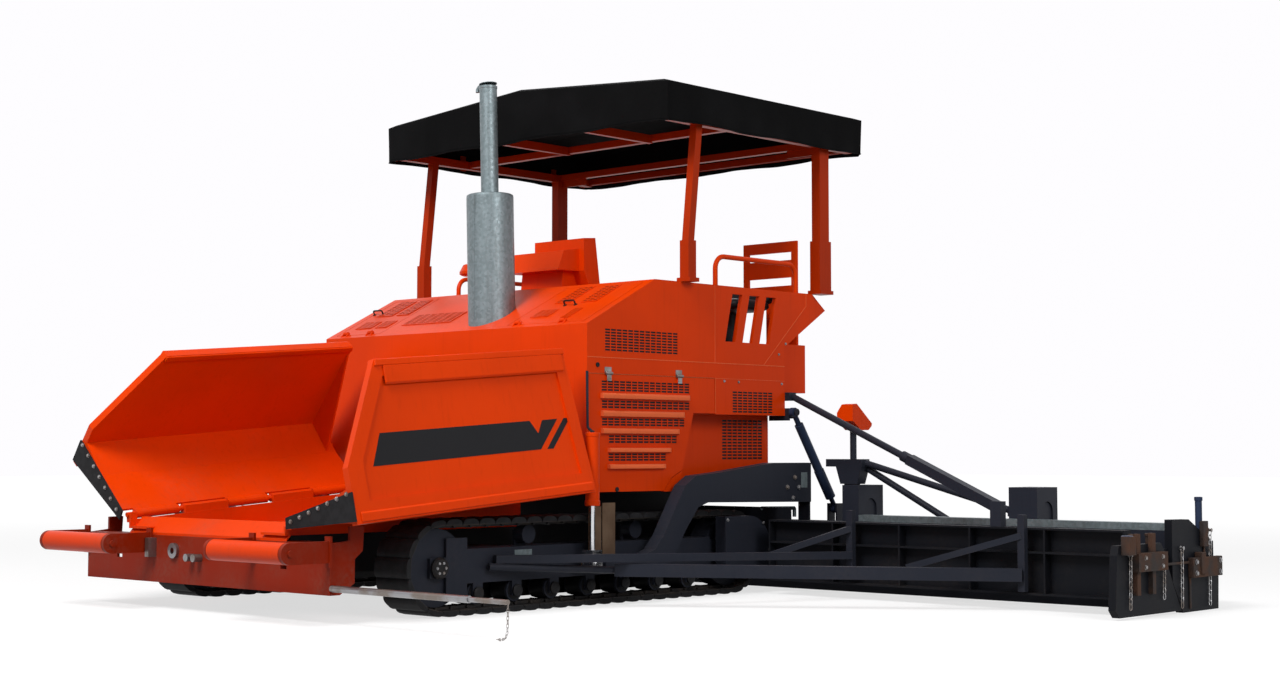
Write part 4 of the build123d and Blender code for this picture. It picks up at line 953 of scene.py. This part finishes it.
def buildPointerChain():
    line = splineLine("pointerRoute", chain["route"])
    links = linksAlong(line, chain["wide"], chain["wire"], chain["pitch"])
    made = makePiece("pointerChain", links, "chain_steel", round=True, stands=("pointer_chain",))


buildPointerChain()
print("pointer chain ready")

# end gates: taut chains, clamps and screws on the outer face, at x; the rest is (y, z)
gate = {"x": 4.4503, "out": 0.014, "chain": (0.024, 0.0026, 0.03)}
gateChains = [((1.145, 0.384), (1.137, 0.06)), ((1.79, 0.4), (1.783, 0.035)),
              ((2.167, 0.5), (2.153, 0.03)), ((1.56, 0.3), (1.553, 0.1))]
# plates on the rear half: how far out, then y and z of each
gatePlates = [(0.04, 1.89, 2.28, 0.213, 0.336), (0.052, 1.978, 2.036, 0.234, 0.368),
              (0.03, 2.05, 2.115, 0.4, 0.56), (0.01, 1.895, 1.915, 0.02, 0.214),
              (0.01, 2.09, 2.11, 0.33, 0.41), (0.01, 1.54, 1.895, 0.3, 0.316)]
# bolts: how far out, their y, their z and the head's radius
gateBolts = [(0.0465, (1.262, 1.474), (0.306, 0.362), 0.012), (0.04, (1.925, 2.245), (0.24, 0.31), 0.013)]


def buildGates():
    x = gate["x"]
    out = x + gate["out"]
    links = [linksAlong(np.linspace((out, *top), (out, *foot), 20), *gate["chain"])
             for top, foot in gateChains]
    makeBoth("gateChains", merged(*links), "chain_steel", "screed", round=True)
    hook = [(0.014, 0), (0.014, 0.006), (0.007, 0.008), (0.007, 0.02), (0.012, 0.021), (0.012, 0.026)]
    hooks = [turnedShape(hook, (x, *top), xWay, 16) for top, foot in gateChains]
    makeBoth("gateHooks", merged(*hooks), "bare_steel", "screed", round=True)
    plates = boxesShape([(x, x + reach, *spans) for reach, *spans in gatePlates])
    makeBoth("gateRearClamps", plates, "rusty_steel", "screed", bevel=0.004)
    bolts = [boltsShape([(x + reach, y, z) for y in across for z in heights], xWay, size)
             for reach, across, heights, size in gateBolts]
    makeBoth("gateBolts", merged(*bolts), "bare_steel", "screed")
    # screw spindles with their nuts above the first clamp, and the handle tube of the rear one
    spindle = [(0.016, 0), (0.016, 0.045), (0.021, 0.047), (0.021, 0.062), (0.01, 0.064)]
    spindles = [turnedShape(spindle, (x - 0.012, y, 0.44), zWay, 6) for y in (1.203, 1.405)]
    makeBoth("gateSpindles", merged(*spindles), "rusty_steel", "screed")
    handle = turnedShape([(0.022, 0), (0.022, 0.26), (0.026, 0.262), (0.026, 0.284), (0.02, 0.286)],
                         (x - 0.02, 2.083, 0.425), zWay, 24)
    socket = turnedShape([(0.03, 0), (0.036, 0.004), (0.036, 0.11), (0.03, 0.114)],
                         (x + 0.02, 1.094, 0.385), zWay, 24)
    makeBoth("gateHandles", merged(handle, socket), "dark_paint", "screed", round=True, finish="barrelBlue")


buildGates()
print("gates ready")

# bolts, plates and pipes round the tow arm, the track frame and the drive's cover: x of each face
rear = {"arm": 1.5, "cover": 1.45, "frame": 1.3002, "board": (1.3942, 1.402), "pipe": 1.36,
        "armPlate": 0.0012, "framePlate": 0.001}
armBolts = [(1.703, 0.81), (1.616, 0.74), (1.751, 0.738), (1.683, 0.662)]
coverBolts = [(1.014, 0.52), (1.405, 0.49), (1.47, 0.3), (1.014, 0.17), (1.45, 0.16)]
pipeRoute = [(1.5, 0.59), (1.86, 0.584), (1.876, 0.584), (1.876, 0.52)]


def buildRearFittings():
    arm, face = rear["arm"], rear["frame"]
    bolts = boltsShape([(rear["cover"], *place) for place in coverBolts], xWay, 0.01)
    makeBoth("driveCoverBolts", bolts, "bare_steel")
    bolts = boltsShape([(arm, *place) for place in armBolts], xWay, 0.014)
    makeBoth("towArmBolts", bolts, "bare_steel", "screed")
    # blank plates: on the tow arm and on the track frame
    plate = boxesShape([(arm, arm + rear["armPlate"], 1.778, 1.85, 0.735, 0.845)])
    makeBoth("towArmPlate", plate, "galvanised", "screed", bevel=0.0005)
    plate = boxesShape([(face, face + rear["framePlate"], -0.88, -0.73, 0.3, 0.38)])
    makeBoth("framePlate", plate, "galvanised", bevel=0.0005)
    # worn board that guides the tow arm, beside the levelling rod
    board = boxesShape([(*rear["board"], -0.19, -0.07, 0.29, 0.662)])
    makeBoth("guideBoards", board, "rusty_steel", bevel=0.002, finish="guideBrown")
    # galvanised pipe behind the arm, with its elbow
    route = bentPipe([(rear["pipe"], *place) for place in pipeRoute], 0.014)
    makeBoth("rearPipe", tubeShape(route, 0.014, 14), "galvanised", "screed", round=True)


buildRearFittings()
print("rear fittings ready")


# lamps: place, size and power; sky lights the object, and what is seen straight or mirrored adds up to white
studio = {"reach": 60.0, "floor": 0.36, "glow": 0.68, "farGlow": 0.24, "farFrom": 5.0, "farTo": 22.0,
          "sky": 0.28,
          "lamps": {"keyLamp": ((2, -10, 12), 7.0, 1900), "sideLamp": ((12, -2, 7), 6.0, 500),
                    "backLamp": ((-8, 9, 9), 6.0, 220)}}


def seenPart(net):
    # 1 for what is seen straight or mirrored, 0 for light that only falls on the object
    path = net.node("LightPath").outputs
    return net.math("MAXIMUM", path["Is Camera Ray"], path["Is Glossy Ray"])


def whiten(material, net):
    # seen straight or in a reflection the floor glows up to white, more where the lamps no longer reach,
    # and only the shade of the lamps darkens it
    seen = seenPart(net)
    away = net.node("VectorMath", {"operation": "LENGTH"}, net.place())
    far = net.times(net.ramp(away.outputs["Value"], studio["farFrom"], studio["farTo"]), studio["farGlow"])
    strength = net.times(seen, net.plus(far, studio["glow"]))
    glow = net.node("Emission", Color=(1, 1, 1, 1), Strength=strength)
    nodes = material.node_tree.nodes
    both = net.node("AddShader", None, nodes["Principled BSDF"].outputs[0], glow.outputs[0])
    net.put(nodes["Material Output"].inputs["Surface"], both.outputs[0])


def buildStudio():
    floor = bpy.data.meshes.new("studioFloor")
    reach = studio["reach"]
    corners = [(-reach, -reach, 0), (reach, -reach, 0), (reach, reach, 0), (-reach, reach, 0)]
    floor.from_pydata(corners, [], [(0, 1, 2, 3)])
    ground = bpy.data.objects.new("studioFloor", floor)
    bpy.context.scene.collection.objects.link(ground)
    made, net = newMaterial("studioWhite", (studio["floor"],) * 3, 0.9, 0.0)[:2]
    whiten(made, net)
    floor.materials.append(made)
    world = bpy.data.worlds.new("studioWorld")
    bpy.context.scene.world = world
    world.use_nodes = True
    net = Net(world.node_tree)
    background = world.node_tree.nodes["Background"]
    background.inputs["Color"].default_value = (0.99, 0.98, 1.0, 1)
    hidden = net.times(seenPart(net), 1.0 - studio["sky"])
    net.put(background.inputs["Strength"], net.plus(hidden, studio["sky"]))


def addLamp(name, place, size, power):
    data = bpy.data.lights.new(name, "AREA")
    data.shape, data.size, data.energy = "DISK", size, power
    lamp = bpy.data.objects.new(name, data)
    bpy.context.scene.collection.objects.link(lamp)
    lamp.location = place
    lamp.rotation_euler = Vector((-place[0], -place[1], 1 - place[2])).to_track_quat("-Z", "Y").to_euler()


view = {"place": (10.15, -9.3, 1.0), "azimuth": 42.735, "pitch": 3.385, "lens": 54.38}


def buildCamera():
    data = bpy.data.cameras.new("studioCamera")
    data.lens, data.sensor_width, data.sensor_fit = view["lens"], 36.0, "HORIZONTAL"
    data.clip_end = 500.0
    camera = bpy.data.objects.new("studioCamera", data)
    camera.location = view["place"]
    camera.rotation_euler = (math.radians(90 + view["pitch"]), 0, math.radians(view["azimuth"]))
    bpy.context.scene.collection.objects.link(camera)
    bpy.context.scene.camera = camera


buildStudio()
for lampName, values in studio["lamps"].items():
    addLamp(lampName, *values)
buildCamera()
bpy.context.scene.view_settings.view_transform = "Standard"
